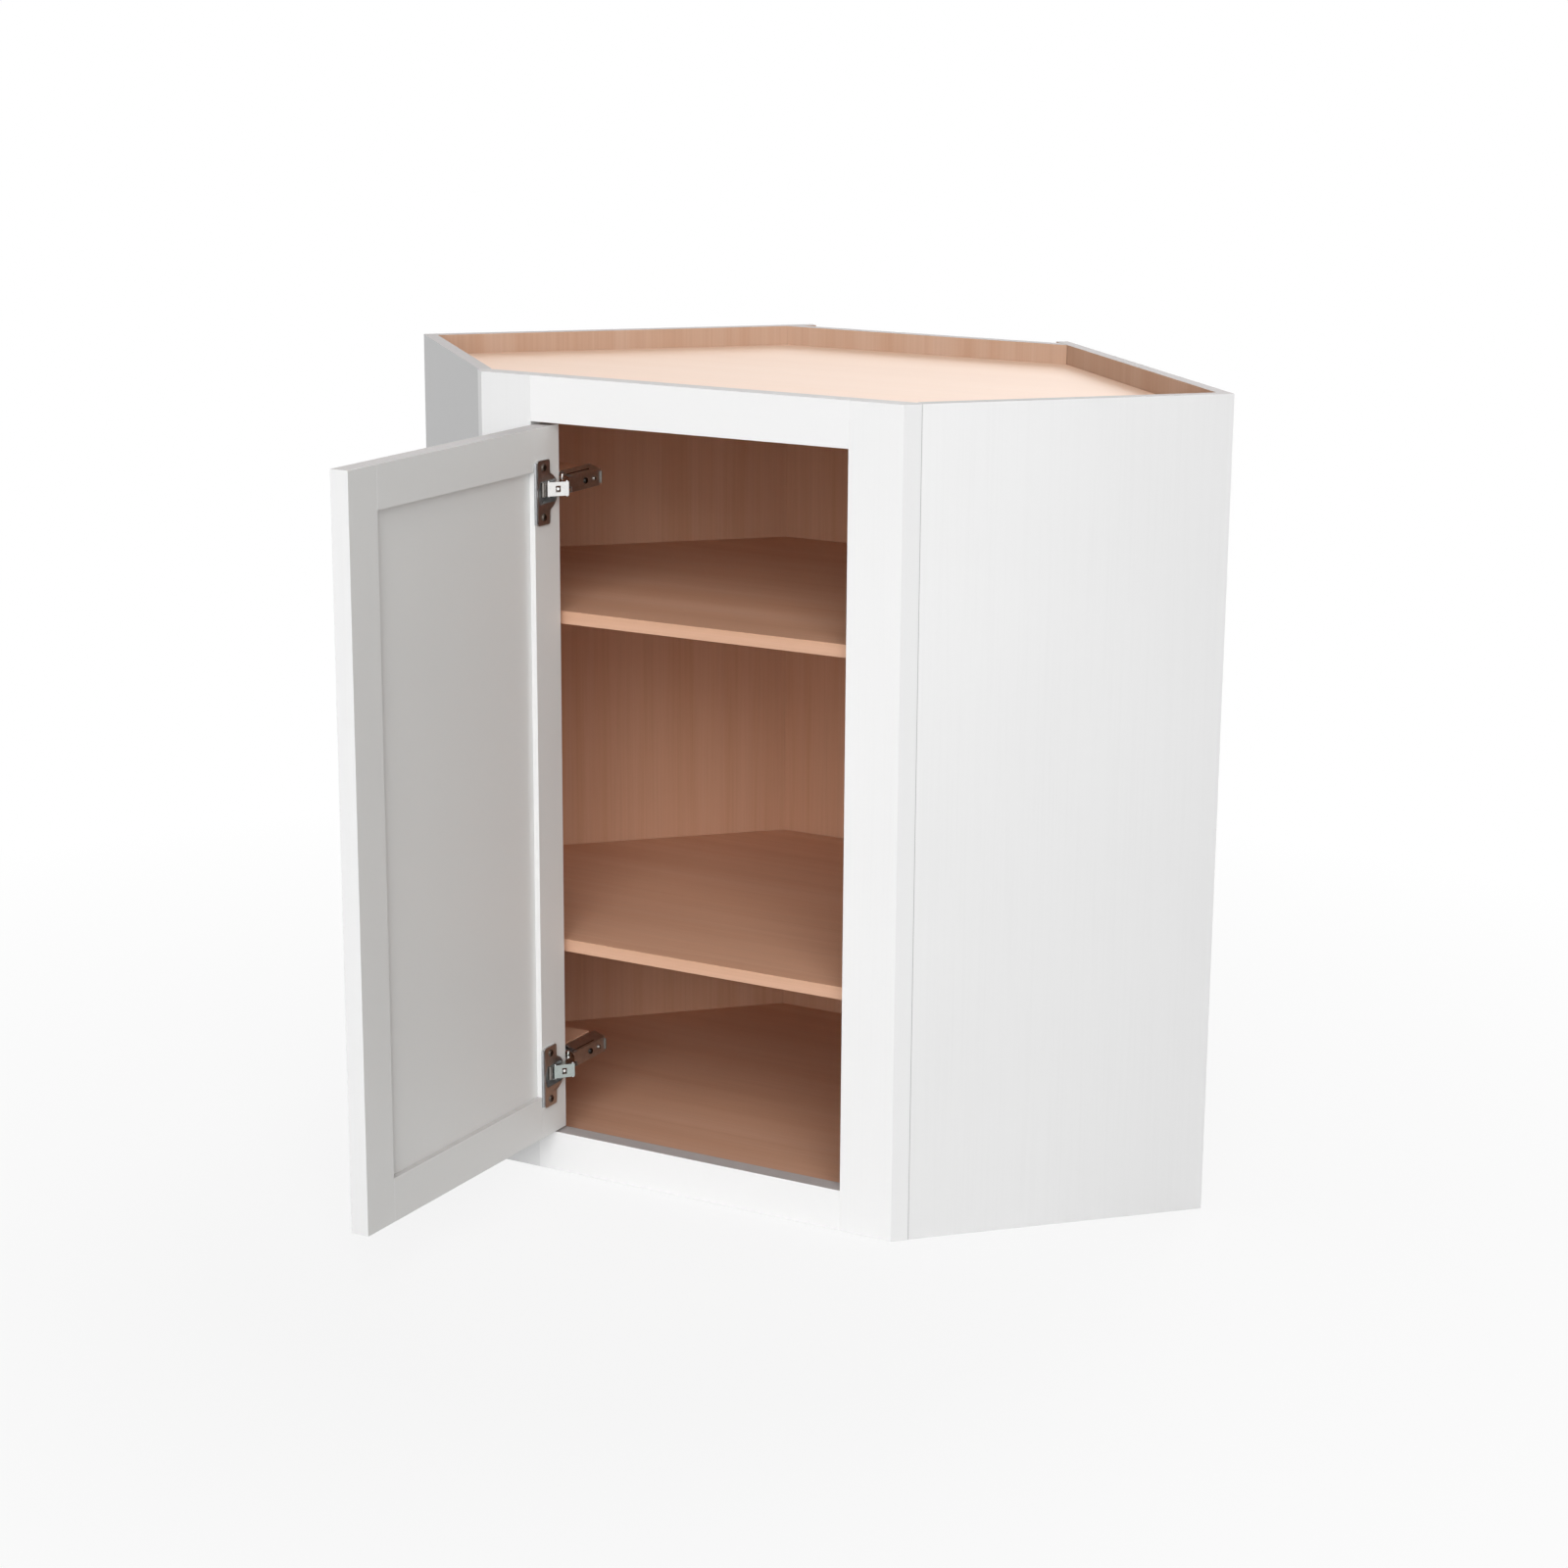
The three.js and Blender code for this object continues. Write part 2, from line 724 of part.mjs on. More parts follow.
function hingeFixedParts({ level, z }) {
  const group = new THREE.Group();
  group.add(hingeBlock(level));
  group.add(mountingPlate(level));
  group.add(hingeArm(level));
  const fixing = [fixingScrewFromFront, fixingScrewLength, fixingScrewRadius];
  const adjusting = [adjustScrewFromFront, adjustScrewLength, adjustScrewRadius];
  group.add(armScrew(`${level}_arm_fixing_screw`, ...fixing));
  group.add(armScrew(`${level}_arm_adjusting_screw`, ...adjusting));
  for (const [index, y] of plateScrewPlaces().entries()) {
    const end = index === 0 ? 'front' : 'rear';
    const screw = piece(`${level}_plate_screw_${end}`, woodScrew(plateThick), STEEL);
    screw.position.set(-openingHalf, y, 0);
    group.add(screw);
  }
  group.position.z = z;
  return group;
}

// ---- hinge links --------------------------------------------------------------------

// The links are drawn about the arm's front pin, in the cabinet's directions.
const cupCentreY = doorEdgeY - cupFromEdge - linkPivotY;
const doorFaceOffset = doorBackX - linkPivotX;
const linkClear = doorFaceOffset + flangeThick + 1;
const linkRest = doorFaceOffset + flangeThick - cupRimStep;

// A point of the outer link's plate: along it from its foot at the cup, and behind its face.
function linkPlatePoint(along, behind) {
  const angle = THREE.MathUtils.degToRad(linkPlateAngle);
  return [
    linkClear + along * Math.cos(angle) - behind * Math.sin(angle),
    cupCentreY - linkPastCup + along * Math.sin(angle) + behind * Math.cos(angle),
  ];
}

// A bright plate, turned half towards the front, with an ear above and below that reaches the pin.
function outerLink(level) {
  const half = outerLinkWidth / 2;
  const head = linkPlatePoint(linkPlateLength, 0);
  const legFront = cupCentreY + linkEyeRadius;
  const outline = new THREE.Shape();
  outline.absarc(0, 0, linkEyeRadius, 0.4 * Math.PI, 1.7 * Math.PI, false);
  outline.lineTo(linkClear, -2 * linkEyeRadius);
  outline.lineTo(linkClear, legFront + 2);
  outline.lineTo(doorFaceOffset - linkFootDepth, legFront);
  outline.lineTo(doorFaceOffset - linkFootDepth, legFront - 5);
  outline.lineTo(...linkPlatePoint(0, 0));
  outline.lineTo(...head);
  outline.lineTo(head[0] - linkEyeRadius, head[1] + 1.6 * linkEyeRadius);
  outline.lineTo(2.4 * linkEyeRadius, -linkEyeRadius);
  const body = upright(outline, -half, half, 10);
  const reach = 3 * linkPlateLength;
  const hollow = upright(
    [
      linkPlatePoint(-reach, outerLinkWall),
      linkPlatePoint(2 * reach, outerLinkWall),
      linkPlatePoint(2 * reach, reach),
      linkPlatePoint(-reach, reach),
    ],
    -half + outerLinkWall,
    half - outerLinkWall,
  );
  const pinBore = pillar(linkPinRadius + pinRunningGap, -half - 1, half + 1);
  const middle = linkPlateLength / 2;
  const opening = upright(
    [
      linkPlatePoint(middle - windowLength / 2, -1),
      linkPlatePoint(middle + windowLength / 2, -1),
      linkPlatePoint(middle + windowLength / 2, outerLinkWall + 1),
      linkPlatePoint(middle - windowLength / 2, outerLinkWall + 1),
    ],
    -windowHeight / 2,
    windowHeight / 2,
  );
  return piece(`${level}_outer_link`, cut(body, hollow, pinBore, opening), NICKEL);
}

// A bent bar runs from the pin over the door's corner and down into the cup.
// With the door fully open it rests on the cup's rim, which stops the door.
function innerLink(level) {
  const half = innerLinkThick / 2;
  const ridge = linkRest + half;
  const eye = linkEyeRadius - 1.2;
  const tip = [doorFaceOffset - 2.2, cupCentreY + 2];
  const outline = [
    [half + 1, -eye + 0.5],
    [ridge + half, -10],
    [ridge + half, cupCentreY + cupRadius - linkBendInset - 1],
    [tip[0] + 2 * half + 1, tip[1]],
    [tip[0], tip[1] - 1],
    [tip[0] - 0.6, tip[1] + 1.5],
    [ridge - half, cupCentreY + cupRadius - linkBendInset],
    [ridge - half, -11],
    [-half - 1, -eye + 0.5],
  ].reverse();
  const bar = upright(outline, -innerLinkWidth / 2, innerLinkWidth / 2);
  const knuckle = pillar(eye, -innerLinkWidth / 2, innerLinkWidth / 2);
  const pinBore = pillar(linkPinRadius + pinRunningGap, -innerLinkWidth, innerLinkWidth);
  return piece(`${level}_inner_link`, cut(join(bar, knuckle), pinBore), STEEL);
}

function linkPin(level) {
  const reach = linkPinReach;
  const head = 0.7;
  const shank = pillar(linkPinRadius, -reach, reach);
  const ends = [
    pillar(linkPinRadius + 0.9, reach - head + seam, reach + seam),
    pillar(linkPinRadius + 0.9, -reach - seam, -reach + head - seam),
  ];
  return piece(`${level}_link_pin`, join(shank, ...ends), STEEL);
}

function hingeLinks({ level, z }) {
  const group = new THREE.Group();
  group.add(outerLink(level));
  group.add(innerLink(level));
  group.add(linkPin(level));
  group.position.set(linkPivotX, linkPivotY, z + linkRise);
  return group;
}

// ---- assembly -----------------------------------------------------------------------

const cabinet = new THREE.Group();
cabinet.name = 'corner_wall_cabinet';
cabinet.add(faceFrame());
cabinet.add(cabinetBox());
cabinet.add(shelves());
cabinet.add(shelfPins());
cabinet.add(door());
for (const hinge of [{ level: 'upper', z: upperHingeZ }, { level: 'lower', z: lowerHingeZ }]) {
  cabinet.add(hingeFixedParts(hinge));
  cabinet.add(hingeLinks(hinge));
}

export default cabinet;
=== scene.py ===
# Diagonal corner wall cabinet: white framed front, inset panel door, veneered box and shelves.
# Everything is in metres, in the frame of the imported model. The CAD solids keep their shapes and
# places and get their finishes here. Screws, small hinge parts and thin trim are added to them.
import math

import bpy
from mathutils import Matrix, Vector


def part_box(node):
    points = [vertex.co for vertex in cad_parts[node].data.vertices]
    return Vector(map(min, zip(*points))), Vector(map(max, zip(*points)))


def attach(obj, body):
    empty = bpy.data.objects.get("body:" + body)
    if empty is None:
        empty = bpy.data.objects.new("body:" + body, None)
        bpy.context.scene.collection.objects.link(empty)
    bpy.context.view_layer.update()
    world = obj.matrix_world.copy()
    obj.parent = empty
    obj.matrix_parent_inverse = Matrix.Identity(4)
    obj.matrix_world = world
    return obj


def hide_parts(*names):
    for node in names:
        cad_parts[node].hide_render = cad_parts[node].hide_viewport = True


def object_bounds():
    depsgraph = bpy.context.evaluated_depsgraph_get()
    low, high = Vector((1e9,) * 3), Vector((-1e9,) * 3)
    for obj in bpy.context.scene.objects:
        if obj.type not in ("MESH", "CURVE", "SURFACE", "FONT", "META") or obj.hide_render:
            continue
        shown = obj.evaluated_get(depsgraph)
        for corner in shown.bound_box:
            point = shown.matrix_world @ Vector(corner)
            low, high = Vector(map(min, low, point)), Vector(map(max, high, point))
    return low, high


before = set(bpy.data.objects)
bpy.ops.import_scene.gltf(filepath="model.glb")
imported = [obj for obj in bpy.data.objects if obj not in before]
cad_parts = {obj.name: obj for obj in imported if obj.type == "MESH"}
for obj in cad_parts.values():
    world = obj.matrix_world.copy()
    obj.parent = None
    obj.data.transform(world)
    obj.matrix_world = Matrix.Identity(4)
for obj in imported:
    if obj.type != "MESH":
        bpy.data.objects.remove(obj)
cad_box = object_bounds()

MM = 0.001
HINGES = ("upper", "lower")
SHELF_LEVELS = ("upper", "lower")
DIAGONAL = math.sqrt(0.5)
X_AXIS, Y_AXIS, Z_AXIS = 0, 1, 2

# ---- small helpers ------------------------------------------------------------------


def linear(colour, gain=1.0):
    """An sRGB hex colour such as "f4f2ee" as linear red, green, blue and alpha."""
    parts = [int(colour[i : i + 2], 16) / 255 for i in (0, 2, 4)]
    lit = [c / 12.92 if c <= 0.04045 else ((c + 0.055) / 1.055) ** 2.4 for c in parts]
    return tuple(gain * c for c in lit) + (1.0,)


def add_node(tree, kind, inputs=None, stops=(), **settings):
    """Adds a node with its settings and ramp stops, and sets or links inputs by name or number."""
    node = tree.nodes.new(kind)
    for key, value in settings.items():
        setattr(node, key, value)
    for key, value in (inputs or {}).items():
        if isinstance(value, bpy.types.NodeSocket):
            tree.links.new(value, node.inputs[key])
        else:
            node.inputs[key].default_value = value
    if stops:
        elements = node.color_ramp.elements
        while len(elements) < len(stops):
            elements.new(0.5)
        for element, (position, colour) in zip(elements, stops):
            element.position = position
            element.color = colour
    return node


def new_finish(name):
    """An empty node material, its tree, and its texture coordinates."""
    material = bpy.data.materials.new(name)
    material.use_nodes = True
    tree = material.node_tree
    tree.nodes.clear()
    return material, tree, add_node(tree, "ShaderNodeTexCoord")


def close_finish(tree, shader_inputs, height, strength, depth):
    """Gives a finish its shader, a bump from a height pattern, and its output."""
    bump = add_node(tree, "ShaderNodeBump", {"Height": height, "Strength": strength, "Distance": depth})
    shader = add_node(
        tree, "ShaderNodeBsdfPrincipled", {**shader_inputs, "Normal": bump.outputs["Normal"]}
    )
    add_node(tree, "ShaderNodeOutputMaterial", {"Surface": shader.outputs["BSDF"]})


def shade_by_angle(mesh, degrees):
    """Smooth shading, broken where two faces meet at more than an angle."""
    mesh.polygons.foreach_set("use_smooth", [True] * len(mesh.polygons))
    mesh.set_sharp_from_angle(angle=math.radians(degrees))


# ---- materials ----------------------------------------------------------------------

# maple veneer: its figure's tones, the shades of its streaks and pores over them, a paler tone
# painted on as light on the top panel, and a cooler painted shade on the rim above the top panel
VENEER_DARK = "d9a98b"
VENEER_MIDDLE = "ddaf92"
VENEER_LIGHT = "e1b59a"
STREAK_SHADE = "fbfaf9"
PORE_SHADE = "fbfafa"
TOP_LIGHT_PALE_VENEER = "f6dcc6"
RIM_PAINTED_SHADE = "e4f2fc"
# white paint, its darker copies and greys that are painted shade, and the paint on the backs
WHITE = "ffffff"
FRAME_WHITE = "fafafa"
LEFT_STILE_SHADED_WHITE = "f2f2f2"
END_SHADED_WHITE = "efefef"
LEFT_END_SHADED_WHITE = "dadada"
DOOR_BACK_SHADED_WHITE = "ececea"
UPWARD_SHADE_GREY = "c2bdbc"
LEDGE_SHADE_GREY = "d2cfce"
JOINT_SHADOW_GREY = "a4a4a4"
PAINTED_BACK = "e0ddd9"
# metals and plastic
POLISHED_NICKEL = "cfd0d0"
BRIGHT_NICKEL = "ebeae8"
DULLED_NICKEL = "b2bab6"
SATIN_NICKEL = "adafb1"
ZINC = "8f8b86"
BROWNED_STEEL = "625952"
BLACKENED_STEEL = "3a3836"
NYLON = "ece6dc"


def drawn_lines(tree, coords, along, width, length, detail=2.0, distortion=0.0):
    """Soft lines along one axis, each about as wide and as long as given."""
    scale = [1.0, 1.0, 1.0]
    scale[along] = width / length
    mapped = add_node(tree, "ShaderNodeMapping", {"Vector": coords, "Scale": scale})
    noise = add_node(
        tree,
        "ShaderNodeTexNoise",
        {
            "Vector": mapped.outputs["Vector"],
            "Scale": 1 / width,
            "Detail": detail,
            "Distortion": distortion,
        },
    )
    return noise.outputs["Fac"]


def facing(tree, texture, direction, least=0.9):
    """1 on the faces turned towards a direction, and 0 elsewhere."""
    turned = add_node(
        tree,
        "ShaderNodeVectorMath",
        {0: texture.outputs["Normal"], 1: direction},
        operation="DOT_PRODUCT",
    )
    return add_node(
        tree, "ShaderNodeMath", {0: turned.outputs["Value"], 1: least}, operation="GREATER_THAN"
    ).outputs["Value"]


def veneer_figure(tree, coords, along):
    """The grain of a pale sliced veneer: colour, height and roughness."""
    bands = drawn_lines(tree, coords, along, 28 * MM, 900 * MM, detail=3.0, distortion=0.5)
    streaks = drawn_lines(tree, coords, along, 4 * MM, 260 * MM)
    # pores are far finer than this, and are drawn 1.3 mm wide so that they show
    pores = drawn_lines(tree, coords, along, 1.3 * MM, 110 * MM, detail=1.0)
    tone = add_node(
        tree,
        "ShaderNodeValToRGB",
        {"Fac": bands},
        [(0.32, linear(VENEER_DARK)), (0.5, linear(VENEER_MIDDLE)), (0.7, linear(VENEER_LIGHT))],
    )
    streak_tone = add_node(
        tree,
        "ShaderNodeValToRGB",
        {"Fac": streaks},
        [(0.34, linear(STREAK_SHADE)), (0.52, linear(WHITE))],
    )
    pore_tone = add_node(
        tree,
        "ShaderNodeValToRGB",
        {"Fac": pores},
        [(0.3, linear(PORE_SHADE)), (0.62, linear(WHITE))],
    )
    streaked = add_node(
        tree,
        "ShaderNodeMix",
        {0: 1.0, 6: tone.outputs["Color"], 7: streak_tone.outputs["Color"]},
        data_type="RGBA",
        blend_type="MULTIPLY",
    )
    figured = add_node(
        tree,
        "ShaderNodeMix",
        {0: 1.0, 6: streaked.outputs[2], 7: pore_tone.outputs["Color"]},
        data_type="RGBA",
        blend_type="MULTIPLY",
    )
    roughness = add_node(tree, "ShaderNodeMapRange", {"Value": streaks, "To Min": 0.4, "To Max": 0.5})
    return figured.outputs[2], pores, roughness.outputs["Result"]


def maple_veneer(name, along, top_light_paling=0.0, lacquer=0.0):
    """Sliced maple veneer: warm, pale and even, with a soft sheen, and paler where light is painted on.
    """
    material, tree, texture = new_finish(name)
    colour, height, roughness = veneer_figure(tree, texture.outputs["Object"], along)
    # painted light: a share of a pale tone is mixed in, standing for the light on the top panel
    paled = add_node(
        tree,
        "ShaderNodeMix",
        {0: top_light_paling, 6: colour, 7: linear(TOP_LIGHT_PALE_VENEER)},
        data_type="RGBA",
    )
    shader_inputs = {
        "Base Color": paled.outputs[2],
        "Roughness": roughness,
        "Specular IOR Level": 0.35,
        "Coat Weight": lacquer,
        "Coat Roughness": 0.3,
    }
    close_finish(tree, shader_inputs, height, strength=0.12, depth=0.15 * MM)
    return material


def sprayed_paint(tree, coords, colour, along):
    """Sprayed paint over close-grained wood: colour, height and roughness."""
    # the dimples that sprayed paint dries with are about 2 mm apart
    orange_peel = add_node(
        tree, "ShaderNodeTexNoise", {"Vector": coords, "Scale": 1 / (2 * MM), "Detail": 2.0}
    )
    thickness = add_node(
        tree, "ShaderNodeTexNoise", {"Vector": coords, "Scale": 1 / (220 * MM), "Detail": 2.0}
    )
    grain = drawn_lines(tree, coords, along, 2.4 * MM, 170 * MM)
    shade = add_node(
        tree,
        "ShaderNodeValToRGB",
        {"Fac": thickness.outputs["Fac"]},
        [(0.35, linear(colour, 0.985)), (0.62, linear(colour))],
    )
    lines = add_node(
        tree,
        "ShaderNodeValToRGB",
        {"Fac": grain},
        [(0.3, linear(WHITE, 0.988)), (0.55, linear(WHITE))],
    )
    tinted = add_node(
        tree,
        "ShaderNodeMix",
        {0: 1.0, 6: shade.outputs["Color"], 7: lines.outputs["Color"]},
        data_type="RGBA",
        blend_type="MULTIPLY",
    )
    height = add_node(
        tree, "ShaderNodeMath", {0: orange_peel.outputs["Fac"], 1: grain}, operation="ADD"
    )
    roughness = add_node(
        tree,
        "ShaderNodeMapRange",
        {"Value": thickness.outputs["Fac"], "To Min": 0.4, "To Max": 0.5},
    )
    return tinted.outputs[2], height.outputs["Value"], roughness.outputs["Result"]


def upward_painted_shade(tree, texture, colour, upward_shade_colour=UPWARD_SHADE_GREY):
    """The colour of a painted piece, with a grey painted as shade on its upward faces."""
    # an edge's arrises get the painted shade with it, so they count as upward too
    upward = facing(tree, texture, (0, 0, 1), least=0.6)
    shade_mottle = add_node(
        tree,
        "ShaderNodeTexNoise",
        {"Vector": texture.outputs["Object"], "Scale": 1 / (9 * MM), "Detail": 3.0},
    )
    upward_shade = add_node(
        tree,
        "ShaderNodeValToRGB",
        {"Fac": shade_mottle.outputs["Fac"]},
        [(0.3, linear(upward_shade_colour, 0.93)), (0.7, linear(upward_shade_colour))],
    )
    ended = add_node(
        tree,
        "ShaderNodeMix",
        {0: upward, 6: colour, 7: upward_shade.outputs["Color"]},
        data_type="RGBA",
    )
    return ended.outputs[2]


def satin_paint(name, colour, along, shaded_colour, shaded_direction, upward_shade_colour=UPWARD_SHADE_GREY):
    """Sprayed satin paint on solid wood: a bright, even white with a soft sheen."""
    material, tree, texture = new_finish(name)
    tinted, height, roughness = sprayed_paint(tree, texture.outputs["Object"], colour, along)
    # painted shade: the face turned towards the given direction gets a darker white, as the shade it is
    # in
    face_shaded = add_node(
        tree,
        "ShaderNodeMix",
        {0: facing(tree, texture, shaded_direction), 6: tinted, 7: linear(shaded_colour)},
        data_type="RGBA",
    )
    shader_inputs = {
        "Base Color": upward_painted_shade(tree, texture, face_shaded.outputs[2], upward_shade_colour),
        "Roughness": roughness,
        "Specular IOR Level": 0.3,
    }
    close_finish(tree, shader_inputs, height, strength=0.05, depth=0.15 * MM)
    return material


def faced_panel(name, inner, outer_colour):
    """Plywood veneered within and painted without: warm wood inside, even pale paint outside."""
    material, tree, texture = new_finish(name)
    coords = texture.outputs["Object"]
    inside = facing(tree, texture, inner)
    wood, wood_height, wood_roughness = veneer_figure(tree, coords, Z_AXIS)
    # painted shade: above the top panel the veneer is painted cooler and darker, as the shade on the
    # rim
    height_up = add_node(tree, "ShaderNodeSeparateXYZ", {0: coords}).outputs["Z"]
    top_of_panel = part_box("top_panel")[1].z
    above = add_node(tree, "ShaderNodeMath", {0: height_up, 1: top_of_panel}, operation="GREATER_THAN")
    rim_shaded = add_node(
        tree,
        "ShaderNodeMix",
        {0: 1.0, 6: wood, 7: linear(RIM_PAINTED_SHADE)},
        data_type="RGBA",
        blend_type="MULTIPLY",
    )
    wood = add_node(
        tree,
        "ShaderNodeMix",
        {0: above.outputs[0], 6: wood, 7: rim_shaded.outputs[2]},
        data_type="RGBA",
    ).outputs[2]
    paint, paint_height, paint_roughness = sprayed_paint(tree, coords, outer_colour, Z_AXIS)
    colour = add_node(
        tree,
        "ShaderNodeMix",
        {0: inside, 6: upward_painted_shade(tree, texture, paint), 7: wood},
        data_type="RGBA",
    )
    height = add_node(tree, "ShaderNodeMix", {0: inside, 2: paint_height, 3: wood_height})
    roughness = add_node(tree, "ShaderNodeMix", {0: inside, 2: paint_roughness, 3: wood_roughness})
    shader_inputs = {
        "Base Color": colour.outputs[2],
        "Roughness": roughness.outputs[0],
        "Specular IOR Level": 0.08,
    }
    close_finish(tree, shader_inputs, height.outputs[0], strength=0.08, depth=0.15 * MM)
    return material


def plated_steel(name, colour, smoothest, roughest, wear):
    """Plate or oxide on steel: a mirror to a grey sheen, with cloudy patches darkened by wear."""
    material, tree, texture = new_finish(name)
    coords = texture.outputs["Object"]
    cloud = add_node(
        tree, "ShaderNodeTexNoise", {"Vector": coords, "Scale": 1 / (4 * MM), "Detail": 3.0}
    )
    # rolling marks are finer than this, and are drawn 0.5 mm wide so that they show
    rolled = drawn_lines(tree, coords, Z_AXIS, 0.5 * MM, 10 * MM)
    tone = add_node(
        tree,
        "ShaderNodeValToRGB",
        {"Fac": cloud.outputs["Fac"]},
        [(0.3, linear(colour, wear)), (0.65, linear(colour))],
    )
    roughness = add_node(
        tree,
        "ShaderNodeMapRange",
        {"Value": cloud.outputs["Fac"], "To Min": smoothest, "To Max": roughest},
    )
    shader_inputs = {
        "Base Color": tone.outputs["Color"],
        "Metallic": 1.0,
        "Roughness": roughness.outputs["Result"],
    }
    close_finish(tree, shader_inputs, rolled, strength=0.05, depth=0.05 * MM)
    return material


def moulded_nylon(name, colour):
    """Injection-moulded nylon: off-white, slightly waxy, with the mould's fine texture."""
    material, tree, texture = new_finish(name)
    grit = add_node(
        tree,
        "ShaderNodeTexNoise",
        {"Vector": texture.outputs["Object"], "Scale": 1 / (0.7 * MM), "Detail": 2.0},
    )
    tone = add_node(
        tree,
        "ShaderNodeValToRGB",
        {"Fac": grit.outputs["Fac"]},
        [(0.3, linear(colour, 0.92)), (0.7, linear(colour))],
    )
    shader_inputs = {
        "Base Color": tone.outputs["Color"],
        "Roughness": 0.45,
        "Subsurface Weight": 0.1,
        "Subsurface Scale": 1 * MM,
    }
    close_finish(tree, shader_inputs, grit.outputs["Fac"], strength=0.15, depth=0.1 * MM)
    return material


FRONT = (0, -1, 0)
DOOR_BACK = (1, 0, 0)
LEFT_BEVEL = (-DIAGONAL, -DIAGONAL, 0)
RIGHT_BEVEL = (DIAGONAL, -DIAGONAL, 0)

# painted wood: one white paint, with its grain along each piece and painted shade on one face turned
# from the light. A piece without a shaded face gives its own colour twice.
# the left stile and the door's hinge stile are painted a darker white, as shade
left_stile_paint = satin_paint(
    "sprayed satin paint, left stile", LEFT_STILE_SHADED_WHITE, Z_AXIS, END_SHADED_WHITE, LEFT_BEVEL
)
right_stile_paint = satin_paint(
    "sprayed satin paint, right stile", FRAME_WHITE, Z_AXIS, END_SHADED_WHITE, RIGHT_BEVEL
)
frame_rail_paint = satin_paint(
    "sprayed satin paint, frame rails", FRAME_WHITE, X_AXIS, FRAME_WHITE, FRONT
)
door_stile_paint = satin_paint(
    "sprayed satin paint, door stiles", FRAME_WHITE, Z_AXIS, DOOR_BACK_SHADED_WHITE, DOOR_BACK
)
door_hinge_stile_paint = satin_paint(
    "sprayed satin paint, door hinge stile", LEFT_STILE_SHADED_WHITE, Z_AXIS, DOOR_BACK_SHADED_WHITE, DOOR_BACK
)
door_top_rail_paint = satin_paint(
    "sprayed satin paint, door top rail", FRAME_WHITE, Y_AXIS, DOOR_BACK_SHADED_WHITE, DOOR_BACK
)
# the ledge under the centre panel gets a lighter painted shade than the door's upper edge
door_bottom_rail_paint = satin_paint(
    "sprayed satin paint, door bottom rail", FRAME_WHITE, Y_AXIS, DOOR_BACK_SHADED_WHITE, DOOR_BACK, LEDGE_SHADE_GREY
)
# painted shadow: a fine grey strip in the joint, standing for the shade of its gap
joint_shadow_paint = satin_paint("painted shadow in a joint", JOINT_SHADOW_GREY, Z_AXIS, JOINT_SHADOW_GREY, FRONT)

# veneer: warm and pale, and paler on the top panel, where light is painted into its colour
veneer_level = maple_veneer("sliced maple veneer, level grain", X_AXIS)
veneer_top = maple_veneer("sliced maple veneer, painted paler as top light", X_AXIS, top_light_paling=0.6, lacquer=0.15)
veneer_block = maple_veneer("planed maple block", Y_AXIS)

# nickel plate: mirror bright on the upper link, duller and greener on the lower one, a soft mirror on
# the cups and arms, and a grey sheen on the flanges' turned edges
polished_nickel = plated_steel(
    "polished nickel plate on pressed steel", POLISHED_NICKEL, 0.26, 0.38, wear=0.88
)
bright_nickel = plated_steel("bright nickel plate on pressed steel", BRIGHT_NICKEL, 0.1, 0.2, wear=0.94)
dulled_nickel = plated_steel("dulled nickel plate on pressed steel", DULLED_NICKEL, 0.2, 0.3, wear=0.92)
satin_nickel = plated_steel("satin nickel plate on rolled steel", SATIN_NICKEL, 0.32, 0.45, wear=0.85)
# screw steel: zinc is a dull grey, browned and blackened heads read as dark dots, and the
# blackened steel is also painted shadow on a strip along each arm
zinc_plate = plated_steel("zinc plate on screw steel", ZINC, 0.34, 0.46, wear=0.8)
browned_steel = plated_steel("browned screw steel", BROWNED_STEEL, 0.34, 0.46, wear=0.75)
blackened_steel_and_gap_shadow = plated_steel("blackened screw steel", BLACKENED_STEEL, 0.3, 0.42, wear=0.7)
# nylon: off-white and soft at its edges, where light passes a little way in
pin_nylon = moulded_nylon("moulded nylon", NYLON)

# ---- carried-over solids ------------------------------------------------------------

# how wide an arris is rounded on sanded, planed and pressed parts, the thick link and small parts
SANDED_ARRIS = 0.35 * MM
PLANED_ARRIS = 0.4 * MM
PRESSED_ARRIS = 0.3 * MM
LINK_ARRIS = 0.4 * MM
SMALL_ARRIS = 0.2 * MM


def finish_solid(node, material, arris_width):
    """Gives a CAD solid its finish and the small rounded arrises of a sanded or pressed edge."""
    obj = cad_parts[node]
    # the loose triangles are joined into whole flat faces, so that only true edges are rounded
    weld = obj.modifiers.new("weld", "WELD")
    weld.merge_threshold = 1e-6
    flat = obj.modifiers.new("flat faces", "DECIMATE")
    flat.decimate_type = "DISSOLVE"
    flat.angle_limit = math.radians(0.4)
    arris = obj.modifiers.new("arris", "BEVEL")
    arris.width = arris_width
    arris.segments = 2
    arris.limit_method = "ANGLE"
    arris.angle_limit = math.radians(30)
    obj.data.materials.clear()
    obj.data.materials.append(material)


